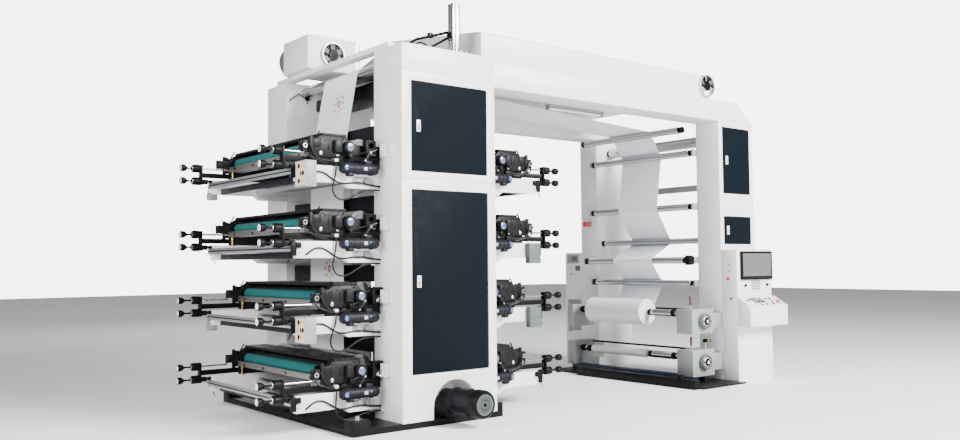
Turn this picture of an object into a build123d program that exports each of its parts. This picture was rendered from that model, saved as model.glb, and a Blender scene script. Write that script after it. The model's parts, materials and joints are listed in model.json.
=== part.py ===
from build123d import *
from math import hypot, radians, sin, sqrt, tan
import os

# Stack-type flexographic printing press: print tower with eight colour decks, overhead
# bridge with a drying hood, and a winding tower with its operator's console.
# Millimetres. X runs along the machine, Y from the operator's side to the rear, Z up.
# The origin is on the floor, under the centre of the print tower.

# Print tower
tower_width = 1150
housing_depth = 500
tower_gap = 1920
base_thickness = 60
base_left_overhang = 545
base_right_overhang = 76
base_foot_length = 190
base_foot_depth = 160
base_foot_height = 80
housing_seam_z = 2377
header_height = 269
seam_width = 8
seam_depth = 6
door_left = -460
door_right = 465
lower_door_sill = 511
lower_door_drop = 97
upper_door_rise = 89
upper_door_drop = 92
door_thickness = 22
door_clearance = 6
door_hinge_gap = 9
door_seat_gap = 0.3
door_swing_clearance = 5
pivot_inset = 8
pivot_radius = 5
pivot_collar_radius = 7.5
pivot_length = 18
running_clearance = 0.05
cabinet_depth = 300
cabinet_lip = 20
handle_inset = 75
handle_height = 110
handle_width = 40
handle_thickness = 10
cover_block_size = (150, 45, 130)
cover_block_y = -1095
cover_block_rise = 260
gland_radius = 17
gland_length = 30

# Main motor in the arch of the lower housing
motor_x = 45
motor_z = 228
motor_radius = 112
motor_fin_height = 13
motor_fin_count = 20
motor_fin_thickness = 5
motor_foot_width = 200
cowl_radius = 137
cowl_length = 120
cowl_end_radius = 118
motor_end_y = -1930
arch_radius = 265
arch_z = 165
arch_depth = 320

# Top of the tower
rail_x = (-575, -150)
rail_width = 120
rail_height = 50
fan_box_x = (-650, -30)
fan_box_y = (300, 890)
fan_box_height = 355
blower_radius = 190
blower_width = 120
fan_radius = 145
fan_depth = 40
fan_rim = 14
fan_vanes = 4
fan_sides = 32
mast_x = 245
mast_y = -1210
mast_size = 90
mast_height = 567
mast_wall = 14

# Decks: heights of the lower adjusting screws, from the bottom deck up
deck_heights = (347, 1059, 1767, 2483)
deck_carriage_shift = (0, 0, 120, 120)
head_room = 1217
front_arm_y = -1045
rear_arm_y = 915
arm_thickness = 60
arm_length = 915
arm_top = 20
arm_bottom = -140
arm_root_bottom = -185
arm_root_length = 425
arm_slope = 60
arm_pocket_x = 766
arm_pocket_length = 240
arm_pocket_height = 78
arm_pocket_z = -110
arm_pocket_depth = 22
rear_arm_tail = 275
screw_gap = 137
screw_plate_x = 1605
screw_plate_thickness = 20
screw_plate_size = (70, 217)
sleeve_radius = 44
sleeve_length = 90
screw_radius = 11
knob_radius = 38
knob_length = 45
knob_end_x = (1860, 1860, 1810, 1810)
slide_height = 54
slide_bottom = 40
cheek_out = 1170
cheek_in = 833
cheek_thickness = 40
cheek_top = 305
cheek_step_top = 180
cheek_bevel = 60
lug_length = 150
lug_z = (150, 240)
cover_length = 260
cover_thickness = 26
cover_groove = (14, 8)
cover_groove_pitch = 62

# Rollers of a deck: distance from the tower's middle, and height over the lower screw
ink_roller_x = 1108
ink_roller_z = 197
ink_roller_radius = 58
ink_roller_half_length = 785
anilox_x = 998
anilox_z = 238
anilox_radius = 52
plate_x = 865
plate_z = 222
plate_radius = 76
impression_x = 673
impression_z = 222
impression_radius = 114
impression_half_length = 850
guide_x = 930
guide_z = -90
guide_radius = 55
roller_half_length = 800
journal_radius = 24
journal_sides = 16
roller_sides = 20
guide_roller_sides = 36
small_sides = 12

# Tray and front bars of a deck
tray_x = 1185
tray_width = 160
tray_thickness = 4
tray_bottom = 112
tray_top = 170
bar_height = 60
bar_thickness = 30
bar_z = -45
bar_setback = 120

# Fittings outside the front arms
drive_x = (655, 1055)
drive_radius = 56
drive_collar_radius = 62
drive_collar_length = 24
drive_stand_off = 62
side_motor_x = 830
side_motor_z = 205
side_motor_radius = 58
side_motor_length = 85
bored_block_x = (590, 700)
bored_block_shift = (0, 0, 72, 72)
bored_block_z = (130, 285)
bored_block_depth = 70
bore_radius = 26
bore_z = 236
switch_box_x = (-1505, -1392)
switch_box_z = (-205, 35)
switch_box_depth = 215
small_box_x = 1322
small_box_z = (-205, 20)
small_box_depth = 70

# Inside of the tower: drying boxes behind the web, and the web's guide rollers
dryer_x = (190, 470)
dryer_z = (330, 500)
top_dryer_drop = (309, 177)
top_roller_x = -330
top_roller_drop = 100
infeed_roller_x = -60
tower_roller_radius = 55
bottom_roller_z = 112
bottom_roller_radius = 42

# Bridge
beam_rise = 11
beam_height = 278
beam_toe = 8
frame_front_y = (-1294, -920)
frame_rear_y = (952, 1293)
bridge_end_x = 5325
bevel_x = 4980
hood_x = (539, 4504)
hood_slant = 117
hood_height = 297
hood_crown_rise = 232
hood_rear_y = 396
hood_edge_radius = 30
hood_fan_x = 4319
hood_fan_drop = 140
light_x = (1870, 2781)
light_size = (90, 60)

# Winding tower
column_x = (4573, 5325)
upper_winder_door_drop = 74
upper_winder_door_height = 883
lower_winder_door_sill = 1799
lower_winder_door_height = 364
winder_door_margin = (85, 80)
cabinet_high = 1720
console_front_y = -1535
console_overhang = 10
rear_cabinet_y = 1652
desk_reach = 199
desk_low = 720
desk_high = 980
desk_back_high = 1100
desk_end_x = 5400
monitor_x = (4640, 5330)
monitor_z = (1322, 1696)
monitor_thickness = 30
roller_plate_height = 90
roller_plate_thickness = 30
bridge_roller_rise = 97
high_winder_rollers = ((4297, -bridge_roller_rise, 45, 1), (4510, 393, 45, 1))
low_winder_rollers = ((4490, 2309, 45, -1), (4700, 1852, 40, 1), (4358, 1585, 45, -1), (4500, 1275, 40, 1))
shaft_setback = 473
shaft_z = 889
roll_radius = 175
roll_y = (-420, 600)
lower_shaft_z = 330
core_radius = 55
shaft_radius = 28
shaft_half_length = 905
block_left = 162
block_right = 279
block_rise = 66
block_height = 315
lower_block_rise = 104
lower_block_height = 336
block_depth = 255
block_stand_off = 140
bracket_inset = 60
hub_radius = 80
hub_thickness = 26
hub_shift = 57
hub_drop = 75
base_rail_setback = (500, 400)
base_rail_y = (-1585, 455)
base_rail_height = 115
floor_plate_y = (-1640, 1100)
floor_plate_thickness = 20
blue_rail_width = 160
light_y = 1100
light_z = 2150
light_radius = 40
light_length = 130

# Web
web_width = 720
web_y = 35
web_thickness = 1
web_gap = 0.2
bridge_roller_x = 640

# Motor cables of the left decks, each from a clamp on the carriage down in a loop and up to a
# gland in the housing's side: X, Y, and height over the lower screw
cable_radius = 8
cable_sides = 6
clamp_x = -1085
clamp_y = -1100
clamp_z = (60, 88)
clamp_width = 34
gland_y = -1120
gland_z = -195
cable_points = (
    ((clamp_x, clamp_y, 60), (clamp_x, clamp_y, -14), (-1098, -1102, -94), (-1122, -1103, -170),
     (-1120, -1104, -240), (-1076, -1106, -292), (-1002, -1108, -304), (-925, -1111, -278),
     (-852, -1114, -230), (-780, -1118, -200), (-700, -1120, -195), (-605, -1120, -195)),
    ((clamp_x, clamp_y, 60), (clamp_x, clamp_y, -16), (-1096, -1102, -92), (-1118, -1103, -166),
     (-1124, -1104, -238), (-1090, -1106, -294), (-1018, -1108, -314), (-942, -1111, -292),
     (-868, -1114, -246), (-794, -1118, -208), (-704, -1120, -195), (-605, -1120, -195)),
    ((clamp_x, clamp_y, 60), (clamp_x, clamp_y, -12), (-1108, -1102, -90), (-1140, -1103, -164),
     (-1150, -1104, -240), (-1114, -1106, -298), (-1040, -1108, -314), (-962, -1111, -284),
     (-886, -1114, -236), (-806, -1118, -202), (-708, -1120, -195), (-605, -1120, -195)),
    ((clamp_x, clamp_y, 60), (clamp_x, clamp_y, -14), (-1091, -1102, -88), (-1093, -1103, -160),
     (-1060, -1105, -220), (-996, -1107, -245), (-920, -1110, -236), (-844, -1113, -216),
     (-766, -1117, -200), (-686, -1120, -195), (-605, -1120, -195)))

os.makedirs("parts", exist_ok=True)

tower_height = deck_heights[-1] + head_room
half_tower = tower_width / 2
half_gap = tower_gap / 2
front_face_y = -half_gap - housing_depth
rear_face_y = half_gap + housing_depth
header_line_z = tower_height - header_height
lower_door_z = (lower_door_sill, housing_seam_z - lower_door_drop)
upper_door_z = (housing_seam_z + upper_door_rise, header_line_z - upper_door_drop)
hinge_x = door_right - pivot_inset
hinge_y = front_face_y + pivot_inset
door_swing_radius = hypot(pivot_inset, door_thickness - pivot_inset) + door_swing_clearance
arm_face = front_arm_y - arm_thickness / 2
beam_high = tower_height + beam_rise
beam_low = beam_high - beam_height
bridge_roller_z = beam_low + bridge_roller_rise
top_roller_z = tower_height - top_roller_drop
shaft_x = column_x[0] - shaft_setback
hood_high = beam_high + hood_height
hood_crown = hood_high + hood_crown_rise
web_line = impression_x - impression_radius
web_middle = web_gap + web_thickness / 2
sides = {"left": -1, "right": 1}


def block(x0, x1, y0, y1, z0, z1, mode=Mode.ADD):
    """A rectangular piece between two opposite corners."""
    with Locations(((x0 + x1) / 2, (y0 + y1) / 2, (z0 + z1) / 2)):
        Box(abs(x1 - x0), abs(y1 - y0), abs(z1 - z0), mode=mode)


def round_piece(plane, radius, length, flats, mode):
    """A round piece from a plane, or a prism of a few flats where many are needed."""
    with BuildSketch(plane) as section:
        if flats:
            RegularPolygon(radius, flats)
        else:
            Circle(radius)
    extrude(section.sketch, amount=length, mode=mode)


def barrel(x, z, radius, y0, y1, flats=0, mode=Mode.ADD):
    """A round piece along Y."""
    round_piece(Plane((x, y0, z), x_dir=(1, 0, 0), z_dir=(0, 1, 0)), radius, y1 - y0, flats, mode)


def rod(y, z, radius, x0, x1, flats=0, mode=Mode.ADD):
    """A round piece along X."""
    round_piece(Plane((x0, y, z), x_dir=(0, 1, 0), z_dir=(1, 0, 0)), radius, x1 - x0, flats, mode)


def post(x, y, radius, z0, z1, flats=0, mode=Mode.ADD):
    """A round piece along Z."""
    round_piece(Plane((x, y, z0), x_dir=(1, 0, 0), z_dir=(0, 0, 1)), radius, z1 - z0, flats, mode)


def journal_bore(x, z, y0, y1):
    """The hole that a roller's journal runs in: its flats clear the journal's corners."""
    with BuildSketch(Plane((x, y0, z), x_dir=(1, 0, 0), z_dir=(0, 1, 0))) as section:
        RegularPolygon(journal_radius + running_clearance, journal_sides, major_radius=False)
    extrude(section.sketch, amount=y1 - y0, mode=Mode.SUBTRACT)


def door_leaf(x0, x1, z0, z1, face_y):
    """A door leaf flush with its housing, with a raised pill-shaped pull."""
    block(x0, x1, face_y, face_y + door_thickness, z0, z1)
    with BuildSketch(Plane((x0 + handle_inset, face_y, (z0 + z1) / 2),
                           x_dir=(1, 0, 0), z_dir=(0, -1, 0))) as pull:
        SlotOverall(handle_height, handle_width, rotation=90)
    extrude(pull.sketch, amount=handle_thickness)


def fan(x, z, face_y):
    """An axial fan in its rim: a hub and a few wide vanes that leave gaps between them."""
    plane = Plane((x, face_y, z), x_dir=(1, 0, 0), z_dir=(0, -1, 0))
    with BuildSketch(plane) as rim:
        RegularPolygon(fan_radius, fan_sides)
        RegularPolygon(fan_radius - fan_rim, fan_sides, mode=Mode.SUBTRACT)
    extrude(rim.sketch, amount=fan_depth)
    with BuildSketch(plane) as vanes:
        RegularPolygon(fan_radius / 5, small_sides)
        with PolarLocations(fan_radius / 2, fan_vanes, start_angle=45):
            Trapezoid(fan_radius / 1.3, fan_radius - fan_rim / 2, 112, rotation=-90)
    extrude(vanes.sketch, amount=fan_depth / 3)


# Tower base: the plate that carries both housings, with a foot block at each corner
with BuildPart() as tower_base:
    base_left = -half_tower - base_left_overhang
    base_right = half_tower + base_right_overhang
    block(base_left, base_right, front_face_y, rear_face_y, 0, base_thickness)
    for y0, y1 in ((front_face_y, front_face_y + base_foot_depth),
                   (rear_face_y - base_foot_depth, rear_face_y)):
        block(base_left, base_left + base_foot_length, y0, y1,
              base_thickness, base_thickness + base_foot_height)
        block(half_tower, base_right, y0, y1, base_thickness, base_thickness + base_foot_height)
tower_base.part.label = "tower_base"
export_step(tower_base.part, "parts/tower_base.step")

# Lower front housing: drive cabinet behind the tall door, arch for the main motor
with BuildPart() as front_housing_lower:
    block(-half_tower, half_tower, front_face_y, -half_gap, base_thickness, housing_seam_z)
    with BuildSketch(Plane((0, front_face_y, 0), x_dir=(1, 0, 0), z_dir=(0, -1, 0))):
        with Locations((motor_x, arch_z)):
            Circle(arch_radius)
        with Locations((motor_x, (arch_z + base_thickness) / 2)):
            Rectangle(2 * arch_radius, arch_z - base_thickness)
    extrude(amount=-arch_depth, mode=Mode.SUBTRACT)
    block(door_left + cabinet_lip, door_right - cabinet_lip,
          front_face_y, front_face_y + cabinet_depth,
          lower_door_z[0] + cabinet_lip, lower_door_z[1] - cabinet_lip, mode=Mode.SUBTRACT)
    block(door_left - door_clearance, door_right + door_hinge_gap,
          front_face_y, front_face_y + door_thickness + door_seat_gap,
          lower_door_z[0] - door_clearance, lower_door_z[1] + door_clearance, mode=Mode.SUBTRACT)
    post(hinge_x, hinge_y, door_swing_radius, lower_door_z[0] - door_clearance,
         lower_door_z[1] + door_clearance, mode=Mode.SUBTRACT)
    for z0, z1 in ((lower_door_z[0] - door_clearance, lower_door_z[0] + pivot_length),
                   (lower_door_z[1] - pivot_length, lower_door_z[1] + door_clearance)):
        post(hinge_x, hinge_y, pivot_radius, z0, z1)
    post(hinge_x, hinge_y, pivot_collar_radius, lower_door_z[0] - door_clearance,
         lower_door_z[0] - door_seat_gap)
front_housing_lower.part.label = "front_housing_lower"
export_step(front_housing_lower.part, "parts/front_housing_lower.step")

# Upper front housing, closed by its own panel under the header
with BuildPart() as front_housing_upper:
    block(-half_tower, half_tower, front_face_y, -half_gap, housing_seam_z, tower_height)
    block(door_left - door_clearance, door_right + door_clearance,
          front_face_y, front_face_y + door_thickness,
          upper_door_z[0] - door_clearance, upper_door_z[1] + door_clearance, mode=Mode.SUBTRACT)
    for z in (housing_seam_z, header_line_z):
        block(-half_tower, half_tower, front_face_y, front_face_y + seam_depth,
              z, z + seam_width, mode=Mode.SUBTRACT)
front_housing_upper.part.label = "front_housing_upper"
export_step(front_housing_upper.part, "parts/front_housing_upper.step")

# Rear housing
with BuildPart() as rear_housing:
    block(-half_tower, half_tower, half_gap, rear_face_y, base_thickness, tower_height)
    for z in (housing_seam_z, header_line_z):
        block(-half_tower, half_tower, rear_face_y - seam_depth, rear_face_y,
              z, z + seam_width, mode=Mode.SUBTRACT)
rear_housing.part.label = "rear_housing"
export_step(rear_housing.part, "parts/rear_housing.step")

# Tall lower door of the drive cabinet, turning on pivots at its right edge
with BuildPart() as tower_lower_door:
    door_leaf(door_left, door_right, lower_door_z[0], lower_door_z[1], front_face_y)
    for z0, z1 in ((lower_door_z[0] - 1, lower_door_z[0] + pivot_length + 1),
                   (lower_door_z[1] - pivot_length - 1, lower_door_z[1] + 1)):
        post(hinge_x, hinge_y, pivot_radius + running_clearance, z0, z1, mode=Mode.SUBTRACT)
tower_lower_door.part.label = "tower_lower_door"
export_step(tower_lower_door.part, "parts/tower_lower_door.step")

# Upper panel of the tower
with BuildPart() as tower_upper_door:
    door_leaf(door_left, door_right, upper_door_z[0], upper_door_z[1], front_face_y)
tower_upper_door.part.label = "tower_upper_door"
export_step(tower_upper_door.part, "parts/tower_upper_door.step")

# Main motor: body with cooling fins, tapered fan cowl and foot
with BuildPart() as main_motor:
    cowl_y = motor_end_y + cowl_length
    barrel(motor_x, motor_z, motor_radius, cowl_y, front_face_y + arch_depth)
    with BuildSketch(Plane((motor_x, cowl_y, motor_z), x_dir=(1, 0, 0), z_dir=(0, 1, 0))):
        with PolarLocations(motor_radius, motor_fin_count):
            Rectangle(2 * motor_fin_height, motor_fin_thickness)
    extrude(amount=front_face_y - cowl_y)
    with BuildSketch(Plane((motor_x, motor_end_y, motor_z), x_dir=(1, 0, 0), z_dir=(0, 1, 0))):
        Circle(cowl_end_radius)
    with BuildSketch(Plane((motor_x, motor_end_y + fan_rim, motor_z), x_dir=(1, 0, 0), z_dir=(0, 1, 0))):
        Circle(cowl_radius)
    loft()
    barrel(motor_x, motor_z, cowl_radius, motor_end_y + fan_rim, cowl_y)
    block(motor_x - motor_foot_width / 2, motor_x + motor_foot_width / 2,
          front_face_y, front_face_y + arch_depth, base_thickness, motor_z)
main_motor.part.label = "main_motor"
export_step(main_motor.part, "parts/main_motor.step")


def arm_plate(side, y, zd, tail):
    """One arm: a plate, deeper at its root."""
    root = side * (half_tower - tail)
    end = side * (half_tower + arm_length)
    step = side * (half_tower + arm_root_length)
    with BuildSketch(Plane((0, y + arm_thickness / 2, zd), x_dir=(1, 0, 0), z_dir=(0, -1, 0))) as plate:
        with BuildLine():
            Polyline((root, arm_top), (end, arm_top), (end, arm_bottom), (step, arm_bottom),
                     (step - side * arm_slope, arm_root_bottom), (root, arm_root_bottom), close=True)
        make_face()
    extrude(plate.sketch, amount=arm_thickness)


def arm_pocket(side, zd):
    """The oblong pocket in the face of a front arm, with its ends cut to a few flats."""
    half_length, half_height = arm_pocket_length / 2, arm_pocket_height / 2
    end = half_length - half_height
    with BuildSketch(Plane((side * arm_pocket_x, arm_face, zd + arm_pocket_z),
                           x_dir=(1, 0, 0), z_dir=(0, -1, 0))) as pocket:
        Rectangle(2 * end, arm_pocket_height)
        with Locations((-end, 0), (end, 0)):
            RegularPolygon(half_height, small_sides)
    extrude(pocket.sketch, amount=-arm_pocket_depth, mode=Mode.SUBTRACT)


# Arms that carry the decks: the front ones on the housing's corner, the rear ones with a
# tail that is fastened to the rear housing's inner face
with BuildPart() as deck_arms:
    for side in sides.values():
        for zd in deck_heights:
            arm_plate(side, front_arm_y, zd, 0)
            arm_pocket(side, zd)
            arm_plate(side, rear_arm_y, zd, rear_arm_tail)
            block(side * (half_tower - rear_arm_tail), side * (half_tower - cabinet_lip),
                  rear_arm_y + arm_thickness / 2, half_gap, zd + arm_root_bottom, zd + arm_top)
deck_arms.part.label = "deck_arms"
export_step(deck_arms.part, "parts/deck_arms.step")


def cheek(side, y, zd, shift):
    """One cheek of a deck's ink carriage: stepped down towards the tower, with a lug outside."""
    inner, outer = side * half_tower, side * (cheek_out + shift)
    step = side * (cheek_in + shift)
    with BuildSketch(Plane((0, y + cheek_thickness / 2, zd), x_dir=(1, 0, 0), z_dir=(0, -1, 0))) as plate:
        with BuildLine():
            Polyline((inner, arm_top), (outer, arm_top), (outer, lug_z[0]),
                     (outer + side * lug_length, lug_z[0]), (outer + side * lug_length, lug_z[1]),
                     (outer, lug_z[1]), (outer, cheek_top - cheek_bevel),
                     (outer - side * cheek_bevel, cheek_top), (step, cheek_top),
                     (step - side * cheek_bevel, cheek_step_top + cheek_bevel),
                     (inner, cheek_step_top + cheek_bevel), close=True)
        make_face()
    extrude(plate.sketch, amount=cheek_thickness)
    journal_bore(side * (ink_roller_x + shift), zd + ink_roller_z,
                 y - cheek_thickness / 2 - 1, y + cheek_thickness / 2 + 1)


with BuildPart() as deck_cheeks:
    for side in sides.values():
        for zd, shift in zip(deck_heights, deck_carriage_shift):
            for y in (front_arm_y, rear_arm_y):
                cheek(side, y, zd, shift)
deck_cheeks.part.label = "deck_cheeks"
export_step(deck_cheeks.part, "parts/deck_cheeks.step")

# Slides that the carriages run on, each ending at the plate of its adjusting screws
with BuildPart() as screw_rails:
    for side in sides.values():
        for zd, shift in zip(deck_heights, deck_carriage_shift):
            for y in (front_arm_y, rear_arm_y):
                block(side * (cheek_out + shift), side * screw_plate_x,
                      y - cheek_thickness / 4, y + cheek_thickness / 4,
                      zd + slide_bottom, zd + slide_bottom + slide_height)
                block(side * screw_plate_x, side * (screw_plate_x + screw_plate_thickness),
                      y - screw_plate_size[0] / 2, y + screw_plate_size[0] / 2,
                      zd + (screw_gap - screw_plate_size[1]) / 2,
                      zd + (screw_gap + screw_plate_size[1]) / 2)
screw_rails.part.label = "screw_rails"
export_step(screw_rails.part, "parts/screw_rails.step")

# Adjusting screws: sleeve, neck and dial knob outside the plate
with BuildPart() as adjusting_screws:
    outside = screw_plate_x + screw_plate_thickness
    for side in sides.values():
        for zd, knob_end in zip(deck_heights, knob_end_x):
            for y in (front_arm_y, rear_arm_y):
                for z in (zd, zd + screw_gap):
                    rod(y, z, sleeve_radius, side * outside, side * (outside + sleeve_length), small_sides)
                    rod(y, z, screw_radius, side * (outside + sleeve_length), side * knob_end, 6)
                    rod(y, z, knob_radius, side * (knob_end - knob_length), side * knob_end, small_sides)
adjusting_screws.part.label = "adjusting_screws"
export_step(adjusting_screws.part, "parts/adjusting_screws.step")


def cross_roller(x, z, radius, half_length):
    """A roller between a deck's cheeks, with journals up to them."""
    front, rear = front_arm_y + cheek_thickness / 2, rear_arm_y - cheek_thickness / 2
    barrel(x, z, radius, -half_length, half_length, roller_sides)
    barrel(x, z, journal_radius, front, -half_length, 6)
    barrel(x, z, journal_radius, half_length, rear, 6)


with BuildPart() as anilox_rollers:
    for side in sides.values():
        for zd, shift in zip(deck_heights, deck_carriage_shift):
            cross_roller(side * (anilox_x + shift), zd + anilox_z, anilox_radius, roller_half_length)
anilox_rollers.part.label = "anilox_rollers"
export_step(anilox_rollers.part, "parts/anilox_rollers.step")

with BuildPart() as plate_rollers:
    for side in sides.values():
        for zd, shift in zip(deck_heights, deck_carriage_shift):
            cross_roller(side * (plate_x + shift), zd + plate_z, plate_radius, roller_half_length)
plate_rollers.part.label = "plate_rollers"
export_step(plate_rollers.part, "parts/plate_rollers.step")

with BuildPart() as impression_rollers:
    for side in sides.values():
        for zd in deck_heights:
            cross_roller(side * impression_x, zd + impression_z, impression_radius, impression_half_length)
impression_rollers.part.label = "impression_rollers"
export_step(impression_rollers.part, "parts/impression_rollers.step")

# Ink rollers: the rubber rollers that turn in the cheeks, one moving piece each
ink_roller_number = 0
for side in sides.values():
    for zd, shift in zip(reversed(deck_heights), reversed(deck_carriage_shift)):
        ink_roller_number += 1
        with BuildPart() as ink_roller:
            x = side * (ink_roller_x + shift)
            z = zd + ink_roller_z
            barrel(x, z, ink_roller_radius, -ink_roller_half_length, ink_roller_half_length)
            barrel(x, z, journal_radius, front_arm_y - cheek_thickness, -ink_roller_half_length,
                   journal_sides)
            barrel(x, z, journal_radius, ink_roller_half_length, rear_arm_y + cheek_thickness,
                   journal_sides)
        ink_roller.part.label = f"ink_roller_{ink_roller_number}"
        export_step(ink_roller.part, f"parts/ink_roller_{ink_roller_number}.step")

# Folded trays under the ink rollers
with BuildPart() as ink_trays:
    for side in sides.values():
        for zd, shift in zip(deck_heights, deck_carriage_shift):
            outer = side * (tray_x + shift)
            front, rear = front_arm_y + cheek_thickness / 2, rear_arm_y - cheek_thickness / 2
            block(outer, outer + side * tray_thickness, front, rear, zd + tray_bottom, zd + tray_top)
            block(outer - side * tray_width, outer, front, rear,
                  zd + tray_bottom, zd + tray_bottom + tray_thickness)
ink_trays.part.label = "ink_trays"
export_step(ink_trays.part, "parts/ink_trays.step")

# Bars across the arms: the bright one at their ends and a second one behind it
with BuildPart() as deck_bars:
    arm_end = half_tower + arm_length
    for side in sides.values():
        for zd in deck_heights:
            block(side * arm_end, side * (arm_end + bar_thickness), arm_face,
                  rear_arm_y + arm_thickness / 2, zd + bar_z - bar_height / 2, zd + bar_z + bar_height / 2)
            block(side * (arm_end - bar_setback), side * (arm_end - bar_setback + bar_thickness),
                  front_arm_y + arm_thickness / 2, rear_arm_y - arm_thickness / 2,
                  zd + arm_bottom, zd + arm_bottom + bar_height)
deck_bars.part.label = "deck_bars"
export_step(deck_bars.part, "parts/deck_bars.step")

# Guide rollers under the decks
with BuildPart() as deck_guide_rollers:
    for side in sides.values():
        for zd in deck_heights:
            barrel(side * guide_x, zd + guide_z, guide_radius,
                   front_arm_y + arm_thickness / 2, rear_arm_y - arm_thickness / 2, roller_sides)
deck_guide_rollers.part.label = "deck_guide_rollers"
export_step(deck_guide_rollers.part, "parts/deck_guide_rollers.step")

# Geared motors before the front arms, and the smaller motors of the ink carriages
with BuildPart() as gear_motors:
    for side in sides.values():
        for zd, shift in zip(deck_heights, deck_carriage_shift):
            drive_y = arm_face - drive_stand_off
            rod(drive_y, zd, drive_radius, side * drive_x[0], side * drive_x[1], small_sides)
            for x in (drive_x[0] + drive_radius, drive_x[1] - drive_radius):
                rod(drive_y, zd, drive_collar_radius, side * x, side * (x + drive_collar_length), small_sides)
            block(side * (drive_x[0] + drive_radius), side * (drive_x[0] + 2 * drive_radius),
                  arm_face - drive_stand_off, arm_face, zd - drive_radius / 2, zd + arm_top)
            barrel(side * (side_motor_x + shift), zd + side_motor_z, side_motor_radius,
                   front_arm_y - cheek_thickness / 2 - side_motor_length,
                   front_arm_y - cheek_thickness / 2, small_sides)
gear_motors.part.label = "gear_motors"
export_step(gear_motors.part, "parts/gear_motors.step")

# Bored guide blocks and the covers over the plate rollers
with BuildPart() as deck_fittings:
    cheek_front = front_arm_y - cheek_thickness / 2
    cheek_rear = rear_arm_y + cheek_thickness / 2
    for side in sides.values():
        for zd, shift, block_shift in zip(deck_heights, deck_carriage_shift, bored_block_shift):
            block_in, block_out = (x + block_shift for x in bored_block_x)
            block(side * block_in, side * block_out, cheek_front - bored_block_depth,
                  cheek_front, zd + bored_block_z[0], zd + bored_block_z[1])
            with BuildSketch(Plane((side * (block_in + block_out) / 2, cheek_front - bored_block_depth,
                                    zd + bore_z), x_dir=(1, 0, 0), z_dir=(0, 1, 0))) as bore:
                RegularPolygon(bore_radius, small_sides)
            extrude(bore.sketch, amount=bored_block_depth / 2, mode=Mode.SUBTRACT)
            cover_top = zd + cheek_top + cover_thickness
            block(side * (cheek_in + shift), side * (cheek_in + shift + cover_length), cheek_front,
                  cheek_rear, zd + cheek_top, cover_top)
            groove_width, groove_depth = cover_groove
            for groove in range(1, int(cover_length / cover_groove_pitch)):
                x = cheek_in + shift + groove * cover_groove_pitch
                block(side * x, side * (x + groove_width), cheek_front, cheek_rear,
                      cover_top - groove_depth, cover_top, mode=Mode.SUBTRACT)
deck_fittings.part.label = "deck_fittings"
export_step(deck_fittings.part, "parts/deck_fittings.step")

# Switch boxes: with push buttons on the left side, small connection boxes on the right
with BuildPart() as switch_boxes:
    for zd in (deck_heights[1], deck_heights[3]):
        block(switch_box_x[0], switch_box_x[1], arm_face - switch_box_depth, arm_face,
              zd + switch_box_z[0], zd + switch_box_z[1])
    for zd in (deck_heights[1], deck_heights[2]):
        block(small_box_x, half_tower + arm_length, arm_face - small_box_depth, arm_face,
              zd + small_box_z[0], zd + small_box_z[1])
switch_boxes.part.label = "switch_boxes"
export_step(switch_boxes.part, "parts/switch_boxes.step")

# Cover blocks and cable glands on the sides of the lower and upper housing
with BuildPart() as junction_boxes:
    depth, height = cover_block_size[0], cover_block_size[2]
    for side in sides.values():
        for zd in deck_heights:
            z = zd + cover_block_rise
            block(side * half_tower, side * (half_tower + cover_block_size[1]),
                  cover_block_y - depth, cover_block_y - cheek_thickness, z - height, z)
    for zd in deck_heights:
        rod(gland_y, zd + gland_z, gland_radius, -half_tower - gland_length, -half_tower, small_sides)
        block(clamp_x - clamp_width / 2, clamp_x + clamp_width / 2, clamp_y - clamp_width / 2,
              front_arm_y - cheek_thickness / 2, zd + clamp_z[0], zd + clamp_z[1])
junction_boxes.part.label = "junction_boxes"
export_step(junction_boxes.part, "parts/junction_boxes.step")

# Drying boxes between the housings, behind the web
with BuildPart() as inner_panels:
    for side in sides.values():
        for zd in deck_heights:
            block(side * dryer_x[0], side * dryer_x[1], -half_gap, half_gap,
                  zd + dryer_z[0], zd + dryer_z[1])
    block(-dryer_x[0], dryer_x[0], -half_gap, half_gap,
          tower_height - top_dryer_drop[0], tower_height - top_dryer_drop[1])
inner_panels.part.label = "inner_panels"
export_step(inner_panels.part, "parts/inner_panels.step")

# Guide rollers of the web inside the tower and at the mouth of the bridge
bottom_roller_x = web_line - 2 * web_middle - bottom_roller_radius
tower_route = ((infeed_roller_x, top_roller_z, tower_roller_radius, -1),
               (top_roller_x, top_roller_z, tower_roller_radius, -1),
               (-impression_x, deck_heights[-1] + impression_z, impression_radius, 1),
               (-bottom_roller_x, bottom_roller_z, bottom_roller_radius, -1),
               (bottom_roller_x, bottom_roller_z, bottom_roller_radius, -1),
               (impression_x, deck_heights[-1] + impression_z, impression_radius, 1),
               (bridge_roller_x, bridge_roller_z, tower_roller_radius, 1))
with BuildPart() as tower_rollers:
    for x, z, radius, lay in tower_route:
        if abs(x) < half_tower:
            barrel(x, z, radius, -half_gap, half_gap, roller_sides)
    barrel(bridge_roller_x, bridge_roller_z, tower_roller_radius,
           frame_front_y[1], frame_rear_y[0], roller_sides)
tower_rollers.part.label = "tower_rollers"
export_step(tower_rollers.part, "parts/tower_rollers.step")

# Rails across the top of the tower, with the fan box and its blower over the rear housing
with BuildPart() as cross_tray:
    for x in rail_x:
        block(x, x + rail_width, front_face_y + housing_depth / 2, half_gap + housing_depth / 2,
              tower_height, tower_height + rail_height)
cross_tray.part.label = "cross_tray"
export_step(cross_tray.part, "parts/cross_tray.step")

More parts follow.
